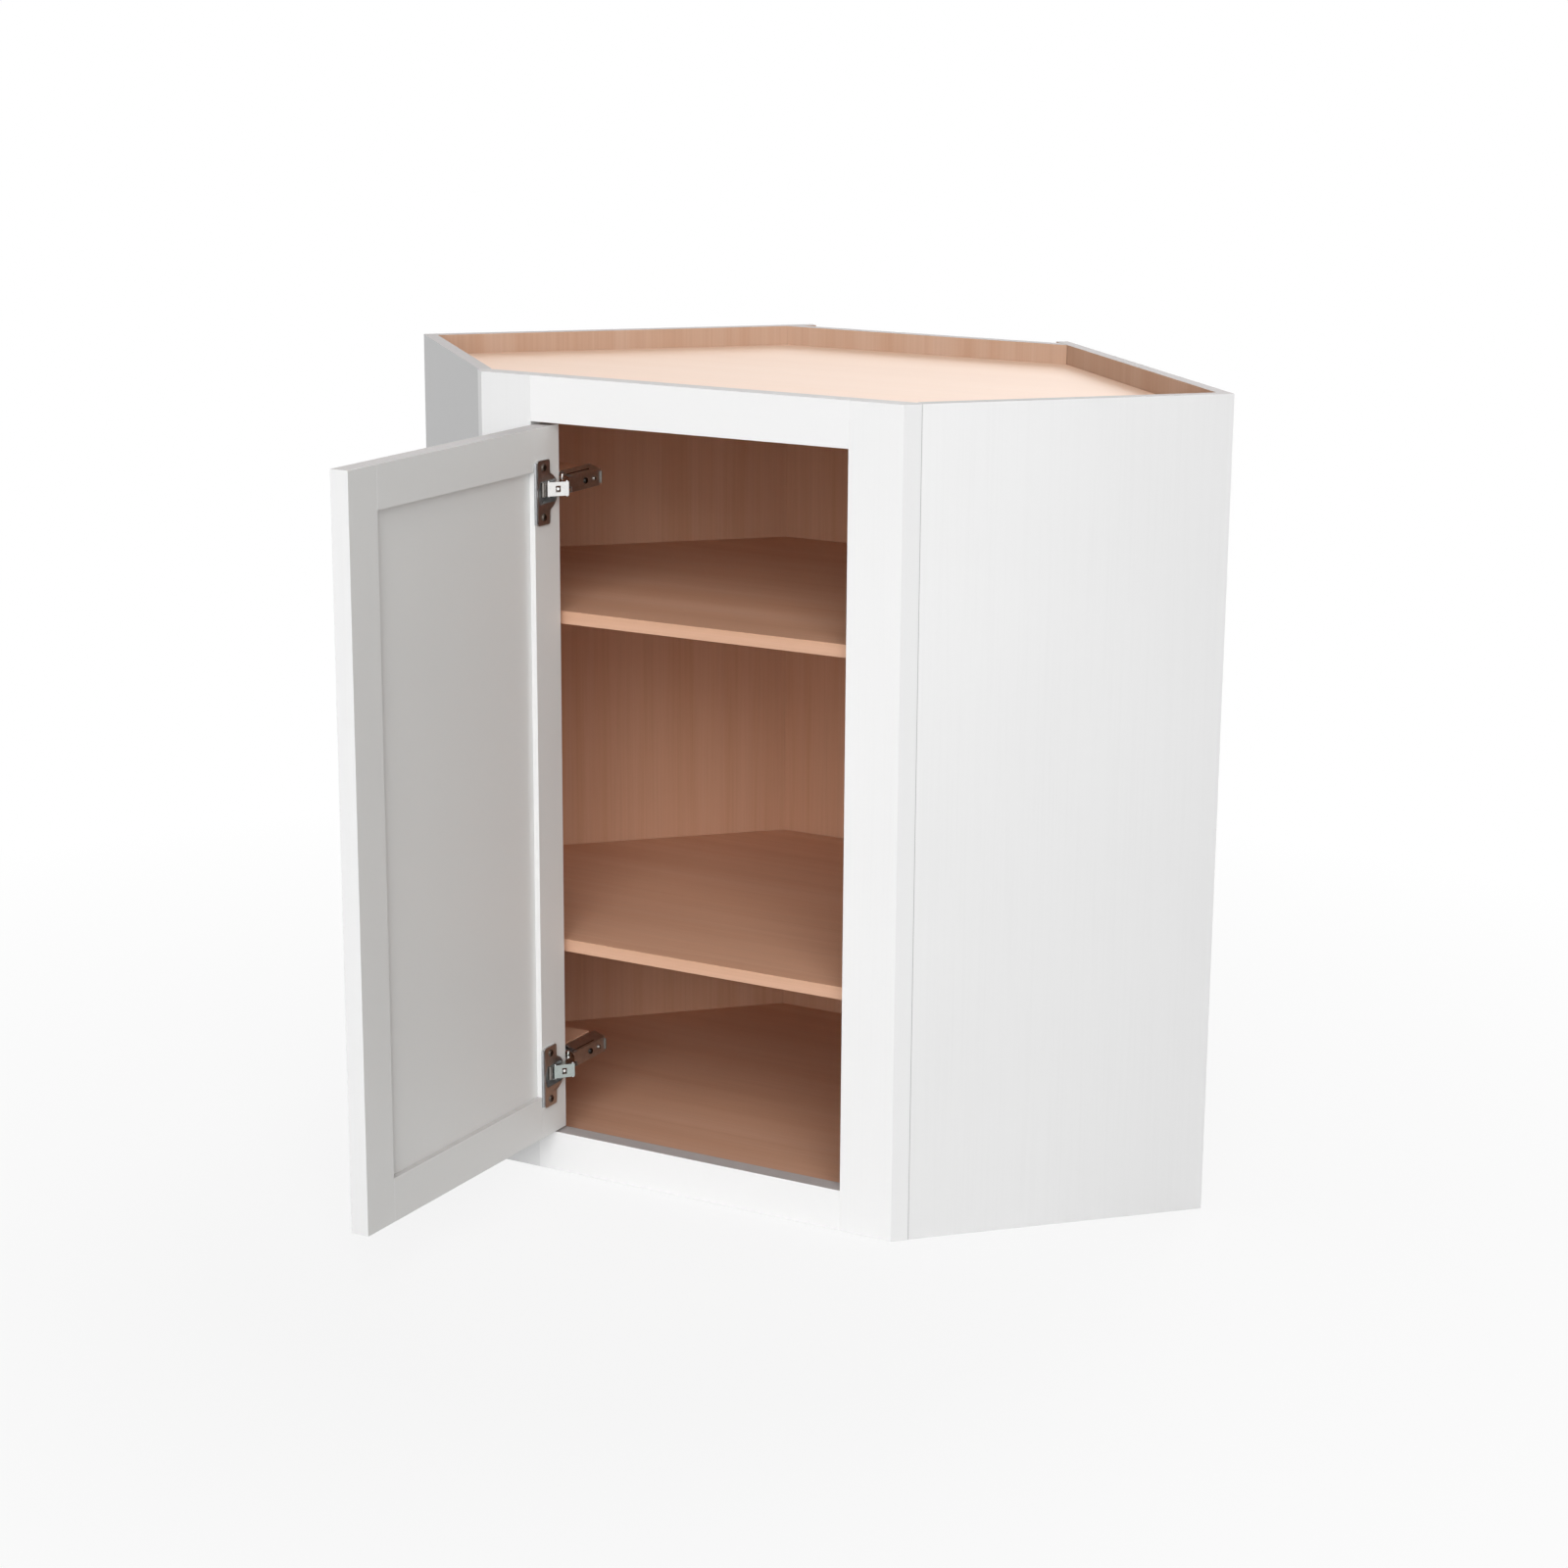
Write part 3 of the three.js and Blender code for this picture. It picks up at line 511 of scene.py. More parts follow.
def finish_cabinet():
    """Paint on the face frame and the ends, veneer inside."""
    finish_solid("frame_left_stile", left_stile_paint, SANDED_ARRIS)
    finish_solid("frame_right_stile", right_stile_paint, SANDED_ARRIS)
    for node in ("frame_top_rail", "frame_bottom_rail"):
        finish_solid(node, frame_rail_paint, SANDED_ARRIS)
    # each upright panel's outer colour, and the way its veneered face points
    # painted shade: the end panels' whites are darker copies of the frame's, the left end's darkest
    panels = {
        "left_end_panel": (LEFT_END_SHADED_WHITE, (DIAGONAL, DIAGONAL, 0)),
        "right_end_panel": (END_SHADED_WHITE, (-DIAGONAL, DIAGONAL, 0)),
        "left_back_panel": (PAINTED_BACK, (DIAGONAL, -DIAGONAL, 0)),
        "right_back_panel": (PAINTED_BACK, (-DIAGONAL, -DIAGONAL, 0)),
        "corner_back_panel": (PAINTED_BACK, FRONT),
    }
    for node, (outside, inner) in panels.items():
        material = faced_panel(f"faced plywood, {node.replace('_', ' ')}", inner, outside)
        finish_solid(node, material, SANDED_ARRIS)
    for node in ("upper_shelf", "lower_shelf", "bottom_panel"):
        finish_solid(node, veneer_level, SANDED_ARRIS)
    finish_solid("top_panel", veneer_top, SANDED_ARRIS)


def finish_shelf_pins():
    """Nylon on the pins that the shelves lie on."""
    for level in SHELF_LEVELS:
        for side in ("left", "right"):
            for place in ("front", "rear"):
                finish_solid(f"{level}_pin_{side}_{place}", pin_nylon, SMALL_ARRIS)


def finish_door():
    """Paint on the door's frame and centre panel."""
    finish_solid("door_hinge_stile", door_hinge_stile_paint, SANDED_ARRIS)
    for node in ("door_latch_stile", "door_centre_panel"):
        finish_solid(node, door_stile_paint, SANDED_ARRIS)
    finish_solid("door_top_rail", door_top_rail_paint, SANDED_ARRIS)
    finish_solid("door_bottom_rail", door_bottom_rail_paint, SANDED_ARRIS)


def finish_hinges():
    """Plate on the hinges' pressed parts, and bare wood on the blocks behind them."""
    for level in HINGES:
        finish_solid(f"{level}_hinge_block", veneer_block, PLANED_ARRIS)
        for part in ("mounting_plate", "hinge_arm", "hinge_cup"):
            finish_solid(f"{level}_{part}", polished_nickel, PRESSED_ARRIS)
        link_plate = bright_nickel if level == "upper" else dulled_nickel
        finish_solid(f"{level}_outer_link", link_plate, LINK_ARRIS)
        for part in ("inner_link", "link_pin"):
            finish_solid(f"{level}_{part}", bright_nickel, SMALL_ARRIS)


finish_cabinet()
finish_shelf_pins()
finish_door()
finish_hinges()

# ---- screws and studs, made by geometry nodes ---------------------------------------

CUP_SCREW = {
    "Head Radius": 3.4 * MM,
    "Head Height": 1.2 * MM,
    "Shank Radius": 1.75 * MM,
    "Shank Length": 12 * MM,
}
FIXING_SCREW = {
    "Head Radius": 2.9 * MM,
    "Head Height": 1.4 * MM,
    "Shank Radius": 1.6 * MM,
    "Shank Length": 9 * MM,
}
ADJUSTING_SCREW = {
    "Head Radius": 2.2 * MM,
    "Head Height": 1.4 * MM,
    "Shank Radius": 1.6 * MM,
    "Shank Length": 4 * MM,
}
WINDOW_SCREW = {
    "Head Radius": 1.7 * MM,
    "Head Height": 0.9 * MM,
    "Shank Radius": 0.9 * MM,
    "Shank Length": 2 * MM,
}
STUD_SIZES = {"Stud Radius": 1.15 * MM, "Stud Rise": 0.9 * MM}
SCREW_SEED = 7
# the top and the recess as shares of the head's radius, and the waist as a share of the recess's
HEAD_TOP_SHARE = 0.8
RECESS_SHARE = 0.62
WAIST_SHARE = 0.26
# how far the recess's middle is above the head's, as a share of the head's height
RECESS_RISE_SHARE = 0.4
# how far the shank's middle hangs below the head's, as a share of both their lengths: just under
# half, so that its upper end is inside the head
SHANK_DROP_SHARE = 0.49


def new_tree(name, sizes, result):
    """An empty node tree with named inputs and one result, and its inputs as sockets to link from."""
    tree = bpy.data.node_groups.new(name, "GeometryNodeTree")
    tree.is_modifier = True
    tree.interface.new_socket("Points", in_out="INPUT", socket_type="NodeSocketGeometry")
    for size in sizes:
        tree.interface.new_socket(size, in_out="INPUT", socket_type="NodeSocketFloat")
    tree.interface.new_socket("Finish", in_out="INPUT", socket_type="NodeSocketMaterial")
    tree.interface.new_socket(result, in_out="OUTPUT", socket_type="NodeSocketGeometry")
    return tree, add_node(tree, "NodeGroupInput").outputs


def close_tree(tree, given, instances, result):
    """Ends a tree: its instances are made real, get their finish and are passed out."""
    real = add_node(tree, "GeometryNodeRealizeInstances", {"Geometry": instances})
    finished = add_node(
        tree,
        "GeometryNodeSetMaterial",
        {"Geometry": real.outputs["Geometry"], "Material": given["Finish"]},
    )
    add_node(tree, "NodeGroupOutput", {result: finished.outputs["Geometry"]})
    return tree


def screw_head(tree, given):
    """A disc whose shoulder draws in towards the top."""
    disc = add_node(
        tree,
        "GeometryNodeMeshCylinder",
        {
            "Vertices": 32,
            "Side Segments": 6,
            "Radius": given["Head Radius"],
            "Depth": given["Head Height"],
        },
    )
    place = add_node(tree, "GeometryNodeInputPosition").outputs["Position"]
    height = add_node(tree, "ShaderNodeSeparateXYZ", {0: place}).outputs["Z"]
    half_height = add_node(
        tree, "ShaderNodeMath", {0: given["Head Height"], 1: 0.5}, operation="MULTIPLY"
    )
    shoulder = add_node(
        tree,
        "ShaderNodeMapRange",
        {
            "Value": height,
            "From Min": 0.0,
            "From Max": half_height.outputs[0],
            "To Min": 1.0,
            "To Max": HEAD_TOP_SHARE,
        },
        interpolation_type="SMOOTHSTEP",
    ).outputs["Result"]
    drawn_in = add_node(tree, "ShaderNodeCombineXYZ", {0: shoulder, 1: shoulder, 2: 1.0})
    rounded = add_node(
        tree, "ShaderNodeVectorMath", {0: place, 1: drawn_in.outputs[0]}, operation="MULTIPLY"
    )
    return add_node(
        tree,
        "GeometryNodeSetPosition",
        {"Geometry": disc.outputs["Mesh"], "Position": rounded.outputs["Vector"]},
    ).outputs["Geometry"]


def screw_recess(tree, given):
    """The form of the cross recess: an eight-cornered prism with every other corner pulled in."""
    radius = add_node(
        tree, "ShaderNodeMath", {0: given["Head Radius"], 1: RECESS_SHARE}, operation="MULTIPLY"
    )
    prism = add_node(
        tree,
        "GeometryNodeMeshCylinder",
        {"Vertices": 8, "Radius": radius.outputs[0], "Depth": given["Head Height"]},
    )
    index = add_node(tree, "GeometryNodeInputIndex").outputs["Index"]
    odd = add_node(tree, "ShaderNodeMath", {0: index, 1: 2.0}, operation="MODULO")
    place = add_node(tree, "GeometryNodeInputPosition").outputs["Position"]
    waist = (WAIST_SHARE, WAIST_SHARE, 1.0)
    pulled_in = add_node(tree, "ShaderNodeVectorMath", {0: place, 1: waist}, operation="MULTIPLY")
    star = add_node(
        tree,
        "GeometryNodeSetPosition",
        {
            "Geometry": prism.outputs["Mesh"],
            "Selection": odd.outputs[0],
            "Position": pulled_in.outputs["Vector"],
        },
    )
    rise = add_node(
        tree, "ShaderNodeMath", {0: given["Head Height"], 1: RECESS_RISE_SHARE}, operation="MULTIPLY"
    )
    raised = add_node(tree, "ShaderNodeCombineXYZ", {"Z": rise.outputs[0]})
    return add_node(
        tree,
        "GeometryNodeTransform",
        {"Geometry": star.outputs["Geometry"], "Translation": raised.outputs[0]},
    ).outputs["Geometry"]


def screw_shank(tree, given):
    """A plain round shank, hung below the head."""
    shank = add_node(
        tree,
        "GeometryNodeMeshCylinder",
        {"Vertices": 16, "Radius": given["Shank Radius"], "Depth": given["Shank Length"]},
    )
    reach = add_node(
        tree, "ShaderNodeMath", {0: given["Shank Length"], 1: given["Head Height"]}, operation="ADD"
    )
    drop = add_node(
        tree, "ShaderNodeMath", {0: reach.outputs[0], 1: -SHANK_DROP_SHARE}, operation="MULTIPLY"
    )
    lowered = add_node(tree, "ShaderNodeCombineXYZ", {"Z": drop.outputs[0]})
    return add_node(
        tree,
        "GeometryNodeTransform",
        {"Geometry": shank.outputs["Mesh"], "Translation": lowered.outputs[0]},
    ).outputs["Geometry"]


def screw_tree():
    """A node tree that puts a cross-recessed screw on each point, turned to the point's direction."""
    tree, given = new_tree("screws", CUP_SCREW, "Screws")
    tree.interface.new_socket("Seed", in_out="INPUT", socket_type="NodeSocketInt")
    cut_head = add_node(
        tree,
        "GeometryNodeMeshBoolean",
        {"Mesh 1": screw_head(tree, given), "Mesh 2": screw_recess(tree, given)},
        operation="DIFFERENCE",
    )
    screw = add_node(tree, "GeometryNodeJoinGeometry", {0: cut_head.outputs["Mesh"]})
    tree.links.new(screw_shank(tree, given), screw.inputs[0])

    direction = add_node(
        tree, "GeometryNodeInputNamedAttribute", {"Name": "direction"}, data_type="FLOAT_VECTOR"
    )
    aligned = add_node(
        tree, "FunctionNodeAlignRotationToVector", {"Vector": direction.outputs["Attribute"]}, axis="Z"
    )
    placed = add_node(
        tree,
        "GeometryNodeInstanceOnPoints",
        {
            "Points": given["Points"],
            "Instance": screw.outputs["Geometry"],
            "Rotation": aligned.outputs["Rotation"],
        },
    )
    # each screw stops at its own angle
    stop = add_node(
        tree,
        "FunctionNodeRandomValue",
        {"Min": (0.0, 0.0, 0.0), "Max": (0.0, 0.0, math.pi / 2), "Seed": given["Seed"]},
        data_type="FLOAT_VECTOR",
    )
    driven = add_node(
        tree,
        "GeometryNodeRotateInstances",
        {"Instances": placed.outputs["Instances"], "Rotation": stop.outputs["Value"]},
    )
    return close_tree(tree, given, driven.outputs["Instances"], "Screws")


def stud_tree():
    """A node tree that puts a low domed stud on each point, upright."""
    tree, given = new_tree("studs", STUD_SIZES, "Studs")
    ball = add_node(tree, "GeometryNodeMeshUVSphere", {"Segments": 20, "Rings": 10, "Radius": 1.0})
    size = add_node(
        tree,
        "ShaderNodeCombineXYZ",
        {0: given["Stud Radius"], 1: given["Stud Radius"], 2: given["Stud Rise"]},
    )
    dome = add_node(
        tree, "GeometryNodeTransform", {"Geometry": ball.outputs["Mesh"], "Scale": size.outputs[0]}
    )
    placed = add_node(
        tree,
        "GeometryNodeInstanceOnPoints",
        {"Points": given["Points"], "Instance": dome.outputs["Geometry"]},
    )
    return close_tree(tree, given, placed.outputs["Instances"], "Studs")


def made_by_nodes(name, tree, places, direction, values):
    """Runs a node tree on a few points and keeps what it makes as a plain mesh."""
    mesh = bpy.data.meshes.new(name)
    mesh.from_pydata(places, [], [])
    attribute = mesh.attributes.new("direction", "FLOAT_VECTOR", "POINT")
    for entry in attribute.data:
        entry.vector = direction
    obj = bpy.data.objects.new(name, mesh)
    bpy.context.scene.collection.objects.link(obj)
    modifier = obj.modifiers.new("nodes", "NODES")
    modifier.node_group = tree
    for socket in tree.interface.items_tree:
        if socket.name in values:
            modifier[socket.identifier] = values[socket.name]
    bpy.context.view_layer.update()
    plain = bpy.data.meshes.new_from_object(obj.evaluated_get(bpy.context.evaluated_depsgraph_get()))
    obj.modifiers.clear()
    obj.data = plain
    # the points' own empty material slot comes along, and is dropped
    plain.materials.clear()
    plain.materials.append(values["Finish"])
    shade_by_angle(plain, degrees=35)
    return obj


def screws_for(name, body, nodes, sizes, finish, tree):
    """One object of screws that stands for some CAD screws, all driven in along -X."""
    places = []
    for node in nodes:
        low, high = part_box(node)
        places.append((high.x - sizes["Head Height"] / 2, (low.y + high.y) / 2, (low.z + high.z) / 2))
    values = {**sizes, "Seed": SCREW_SEED, "Finish": finish}
    screws = made_by_nodes(name, tree, places, (1, 0, 0), values)
    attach(screws, body)
    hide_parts(*nodes)


def drive_screws(tree):
    """All the hinges' screws, one object to a kind."""
    cup = [f"{level}_cup_screw_{end}" for level in HINGES for end in ("bottom", "top")]
    plate = [f"{level}_plate_screw_{end}" for level in HINGES for end in ("front", "rear")]
    fixing = [f"{level}_arm_fixing_screw" for level in HINGES]
    adjusting = [f"{level}_arm_adjusting_screw" for level in HINGES]
    screws_for("cup_screws", "door", cup, CUP_SCREW, browned_steel, tree)
    screws_for("plate_screws", "cabinet", plate, CUP_SCREW, zinc_plate, tree)
    screws_for("fixing_screws", "cabinet", fixing, FIXING_SCREW, blackened_steel_and_gap_shadow, tree)
    screws_for("adjusting_screws", "cabinet", adjusting, ADJUSTING_SCREW, zinc_plate, tree)


# ---- small hinge parts, painted joint shadows and tongue ends -----------------------

# keeps an added face out of the plane of the solid's face that it lies on
HAIRLINE = 0.02 * MM
# the painted shadow line lies across the edge of an end panel and the stile beside it
JOINT_WIDTH = 0.8 * MM
JOINT_DEEP = 0.25 * MM
JOINT_PROUD = 0.04 * MM
JOINT_OVER_STILE = 0.45 * MM
# points this near the farthest one are on the same face
SAME_FACE = 0.1 * MM
# the tongues of the door's rails, from the door's back face and from the rail's end
TONGUE_FRONT = 12.25 * MM
TONGUE_BACK = 5.75 * MM
TONGUE_LENGTH = 8.25 * MM
TONGUE_PLAY = 0.05 * MM
TONGUE_END_DEEP = 1.7 * MM
# the hinge cup's mouth, its flat faces beside the slot, and its flange's turned edge
CUP_MIDDLE_Y = -8.6 * MM
CUP_MOUTH_RADIUS = 15.9 * MM
CUP_SLOT_HALF = 10.3 * MM
CUP_FACE_X = -139.55 * MM
CUP_FACE_THICK = 0.8 * MM
FLANGE_EDGE_GAP = 0.03 * MM
FLANGE_EDGE_SHORT = 1.5 * MM
# the turned edge's profile in mm: how far behind the flange's face, and how far out from its side
FLANGE_EDGE_PROFILE = ((2.25, 0), (0.15, 0), (0.6, 1.2), (1.35, 1.9), (2.25, 1.9))
# the link's rolled end in the cup: a strip whose radius falls over its sweep, with angles in degrees
KNUCKLE_MIDDLE = Vector((-140.4 * MM, -14.9 * MM))
KNUCKLE_RADIUS = 2.3 * MM
KNUCKLE_DRAWN_IN = 0.25 * MM
KNUCKLE_THICK = 0.9 * MM
KNUCKLE_START = 20
KNUCKLE_SWEEP = 330
# the arm's sprung clip and its folded lip
CLIP_THICK = 0.3 * MM
CLIP_LIP = 0.4 * MM
CLIP_REACH = 6 * MM
CLIP_WIDTH = 11 * MM
# a strip of painted shadow along the arm's upper edge
SEAM_THICK = 0.3 * MM
SEAM_HEIGHT = 0.9 * MM
SEAM_BELOW_TOP = 1.3 * MM
SEAM_FROM_FRONT = 6 * MM
SEAM_FROM_REAR = 22 * MM
# the link's plate, which starts at its foot and is turned from the X axis
LINK_RISE = 2.4 * MM
LINK_HALF = 6.4 * MM
LINK_FOOT = Vector((-138.3 * MM, -10.6 * MM, 0))
LINK_TURN = math.radians(50)
LINK_LENGTH = 20.2 * MM
STUD_INSET = 1.3 * MM
STUD_PROUD = 0.35 * MM
WINDOW_SCREW_BEHIND = 0.9 * MM


def hinge_middle(level):
    """Height of a hinge's cup."""
    low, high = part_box(f"{level}_hinge_cup")
    return (low.z + high.z) / 2


def solid_from_outline(name, outlines, start, rise, axis):
    """Prisms on outlines of (y, z) points that rise along X, or of (x, y) points that rise along Z."""
    vertices, faces = [], []
    for outline in outlines:
        # an outline that turns the wrong way is turned round, so that the faces point outwards
        following = outline[1:] + outline[:1]
        turn = sum(u * next_v - next_u * v for (u, v), (next_u, next_v) in zip(outline, following))
        if turn * rise < 0:
            outline = outline[::-1]
        first, count = len(vertices), len(outline)
        for height in (start, start + rise):
            vertices += [(height, u, v) if axis == X_AXIS else (u, v, height) for u, v in outline]
        faces.append([first + corner for corner in reversed(range(count))])
        faces.append([first + count + corner for corner in range(count)])
        for corner in range(count):
            low, low_next = first + corner, first + (corner + 1) % count
            faces.append([low, low_next, low_next + count, low + count])
    mesh = bpy.data.meshes.new(name)
    mesh.from_pydata(vertices, [], faces)
    obj = bpy.data.objects.new(name, mesh)
    bpy.context.scene.collection.objects.link(obj)
    return obj


def round_and_finish(obj, finish, body, arris_width):
    """Rounds a small part's arrises, gives it its finish and puts it on its body."""
    arris = obj.modifiers.new("arris", "BEVEL")
    arris.width = arris_width
    arris.segments = 3
    arris.limit_method = "ANGLE"
    arris.angle_limit = math.radians(40)
    shade_by_angle(obj.data, degrees=50)
    obj.data.materials.append(finish)
    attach(obj, body)


def joint_shadow_line(side, sign):
    """A fine dark strip, painted as the shadow of the joint between a stile's bevel and the end panel.
    """
    outward = Vector((sign * DIAGONAL, -DIAGONAL, 0))
    back = Vector((sign * DIAGONAL, DIAGONAL, 0))
    # the line lies along the panel's outer front corner
    vertices = [vertex.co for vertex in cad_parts[f"{side}_end_panel"].data.vertices]
    reach = max(point.dot(outward) for point in vertices)
    outer = [point for point in vertices if point.dot(outward) > reach - SAME_FACE]
    corner = min(outer, key=lambda point: point.dot(back))
    start = Vector((corner.x, corner.y, 0)) + outward * JOINT_PROUD - back * JOINT_OVER_STILE
    across, deep = back * JOINT_WIDTH, outward * -JOINT_DEEP
    outline = [(p.x, p.y) for p in (start, start + across, start + across + deep, start + deep)]
    low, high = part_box(f"{side}_end_panel")
    line = solid_from_outline(f"{side}_joint_shadow_line", [outline], low.z, high.z - low.z, Z_AXIS)
    round_and_finish(line, joint_shadow_paint, "cabinet", arris_width=0.05 * MM)


def tongue_ends(name, outer, inwards, finish):
    """The ends of a door rail's tongues, which fill the stiles' grooves up to the door's edge."""
    _, latch_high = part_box("door_latch_stile")
    hinge_low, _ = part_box("door_hinge_stile")
    front, back = latch_high.x - TONGUE_FRONT, latch_high.x - TONGUE_BACK
    outlines = []
    for start, end in (
        (latch_high.y - TONGUE_LENGTH, latch_high.y - TONGUE_PLAY),
        (hinge_low.y + TONGUE_PLAY, hinge_low.y + TONGUE_LENGTH),
    ):
        outlines.append([(front, start), (back, start), (back, end), (front, end)])
    rise = inwards * TONGUE_END_DEEP
    ends = solid_from_outline(name, outlines, outer + inwards * HAIRLINE, rise, Z_AXIS)
    round_and_finish(ends, finish, "door", arris_width=0.15 * MM)


def cup_face(level):
    """The flat face above and below the slot that the links pass through."""
    middle = hinge_middle(level)
    start = math.asin(CUP_SLOT_HALF / CUP_MOUTH_RADIUS)
    steps = 20
    outlines = []
    for side in (1, -1):
        outline = []
        for step in range(steps + 1):
            angle = start + (math.pi - 2 * start) * step / steps
            across = CUP_MIDDLE_Y + CUP_MOUTH_RADIUS * math.cos(angle)
            outline.append((across, middle + side * CUP_MOUTH_RADIUS * math.sin(angle)))
        outlines.append(outline)
    bottom = CUP_FACE_X - CUP_FACE_THICK
    face = solid_from_outline(f"{level}_cup_face", outlines, bottom, CUP_FACE_THICK, X_AXIS)
    round_and_finish(face, polished_nickel, "door", arris_width=0.3 * MM)


def flange_edge(level):
    """The thick turned edge along the flange's latch side, which catches the light."""
    low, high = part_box(f"{level}_hinge_cup")
    root = low.y - FLANGE_EDGE_GAP
    outline = [(high.x - behind * MM, root - out * MM) for behind, out in FLANGE_EDGE_PROFILE]
    foot = low.z + FLANGE_EDGE_SHORT
    length = high.z - low.z - 2 * FLANGE_EDGE_SHORT
    edge = solid_from_outline(f"{level}_flange_edge", [outline], foot, length, Z_AXIS)
    round_and_finish(edge, satin_nickel, "door", arris_width=0.25 * MM)


def cup_knuckle(level):
    """The link's rolled end, which lies upright in the cup: a strip rolled into a small spiral."""
    outer_turn, inner_turn = [], []
    steps = 30
    for step in range(steps + 1):
        angle = math.radians(KNUCKLE_START + KNUCKLE_SWEEP * step / steps)
        outer = KNUCKLE_RADIUS - KNUCKLE_DRAWN_IN * step / steps
        inner = outer - KNUCKLE_THICK
        ahead = Vector((math.cos(angle), math.sin(angle)))
        outer_turn.append(tuple(KNUCKLE_MIDDLE + ahead * outer))
        inner_turn.append(tuple(KNUCKLE_MIDDLE + ahead * inner))
    outline = outer_turn + inner_turn[::-1]
    low = hinge_middle(level) + LINK_RISE - LINK_HALF
    roll = solid_from_outline(f"{level}_cup_knuckle", [outline], low, 2 * LINK_HALF, Z_AXIS)
    round_and_finish(roll, zinc_plate, "door", arris_width=0.2 * MM)


def arm_clip(level):
    """The sprung clip that folds over the arm's rear end."""
    low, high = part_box(f"{level}_hinge_arm")
    face = high.x + HAIRLINE
    end = high.y + HAIRLINE
    outline = [
        (face, end - CLIP_LIP),
        (face + CLIP_THICK, end - CLIP_LIP),
        (face + CLIP_THICK, end + CLIP_THICK),
        (face - CLIP_REACH, end + CLIP_THICK),
        (face - CLIP_REACH, end),
        (face, end),
    ]
    foot = (low.z + high.z) / 2 - CLIP_WIDTH / 2
    clip = solid_from_outline(f"{level}_arm_clip", [outline], foot, CLIP_WIDTH, Z_AXIS)
    round_and_finish(clip, zinc_plate, "cabinet", arris_width=0.1 * MM)


def arm_gap_shadow(level):
    """A thin dark strip along the arm's upper edge, painted as the shadow of the gap there."""
    low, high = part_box(f"{level}_hinge_arm")
    face = high.x + HAIRLINE
    front, rear = low.y + SEAM_FROM_FRONT, high.y - SEAM_FROM_REAR
    outline = [
        (face, front),
        (face + SEAM_THICK, front),
        (face + SEAM_THICK, rear),
        (face, rear),
    ]
    foot = high.z - SEAM_BELOW_TOP
    seam = solid_from_outline(f"{level}_arm_gap_shadow", [outline], foot, SEAM_HEIGHT, Z_AXIS)
    round_and_finish(seam, blackened_steel_and_gap_shadow, "cabinet", arris_width=0.1 * MM)


def link_point(level, along, behind, rise):
    """A point of the link's plate: along it from its foot, behind its face, and above its middle."""
    ahead = Vector((math.cos(LINK_TURN), math.sin(LINK_TURN), 0))
    inward = Vector((-math.sin(LINK_TURN), math.cos(LINK_TURN), 0))
    height = Vector((0, 0, hinge_middle(level) + LINK_RISE + rise))
    return LINK_FOOT + ahead * along + inward * behind + height


def link_studs(level, tree):
    """The ends of the link's two pins, which show above and below the corners of its plate."""
    places = [
        link_point(level, along, STUD_INSET, side * (LINK_HALF + STUD_PROUD))
        for along in (STUD_INSET, LINK_LENGTH - STUD_INSET)
        for side in (1, -1)
    ]
    values = {**STUD_SIZES, "Finish": polished_nickel}
    studs = made_by_nodes(f"{level}_link_studs", tree, places, (0, 0, 1), values)
    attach(studs, f"{level}_hinge_link")


def window_screw(level, tree):
    """The small screw that shows in the window of the link's plate."""
    outward = (math.sin(LINK_TURN), -math.cos(LINK_TURN), 0)
    place = link_point(level, LINK_LENGTH / 2, WINDOW_SCREW_BEHIND, 0)
    values = {**WINDOW_SCREW, "Seed": SCREW_SEED, "Finish": bright_nickel}
    screw = made_by_nodes(f"{level}_window_screw", tree, [place], outward, values)
    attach(screw, f"{level}_hinge_link")


joint_shadow_line("left", -1)
joint_shadow_line("right", 1)
door_low, door_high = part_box("door_latch_stile")
tongue_ends("top_tongue_ends", door_high.z, -1, door_top_rail_paint)
tongue_ends("bottom_tongue_ends", door_low.z, 1, door_bottom_rail_paint)
screw_nodes = screw_tree()
stud_nodes = stud_tree()
drive_screws(screw_nodes)
for level in HINGES:
    cup_face(level)
    flange_edge(level)
    cup_knuckle(level)
    arm_clip(level)
    arm_gap_shadow(level)
    link_studs(level, stud_nodes)
    window_screw(level, screw_nodes)

# ---- floor, light and camera --------------------------------------------------------

# half the floor's width in metres, and its drop below the cabinet
FLOOR_HALF = 14.0
FLOOR_DROP = 0.4 * MM
FLOOR_GREY = "d2d2d2"
# the floor is this white to the eye near its middle, and fades to the backdrop between two distances
SHADOW_WHITENESS = 0.86
SHADOW_NEAR = 0.45
SHADOW_FAR = 1.5
AMBIENT_STRENGTH = 0.05


def seen_background(tree):
    """1 where the camera, a reflection or a clear part sees the background, and 0 for its light."""
    rays = add_node(tree, "ShaderNodeLightPath")
    reflected = add_node(
        tree,
        "ShaderNodeMath",
        {0: rays.outputs["Is Camera Ray"], 1: rays.outputs["Is Glossy Ray"]},
        operation="MAXIMUM",
    )
    return add_node(
        tree,
        "ShaderNodeMath",
        {0: reflected.outputs["Value"], 1: rays.outputs["Is Transmission Ray"]},
        operation="MAXIMUM",
    ).outputs["Value"]


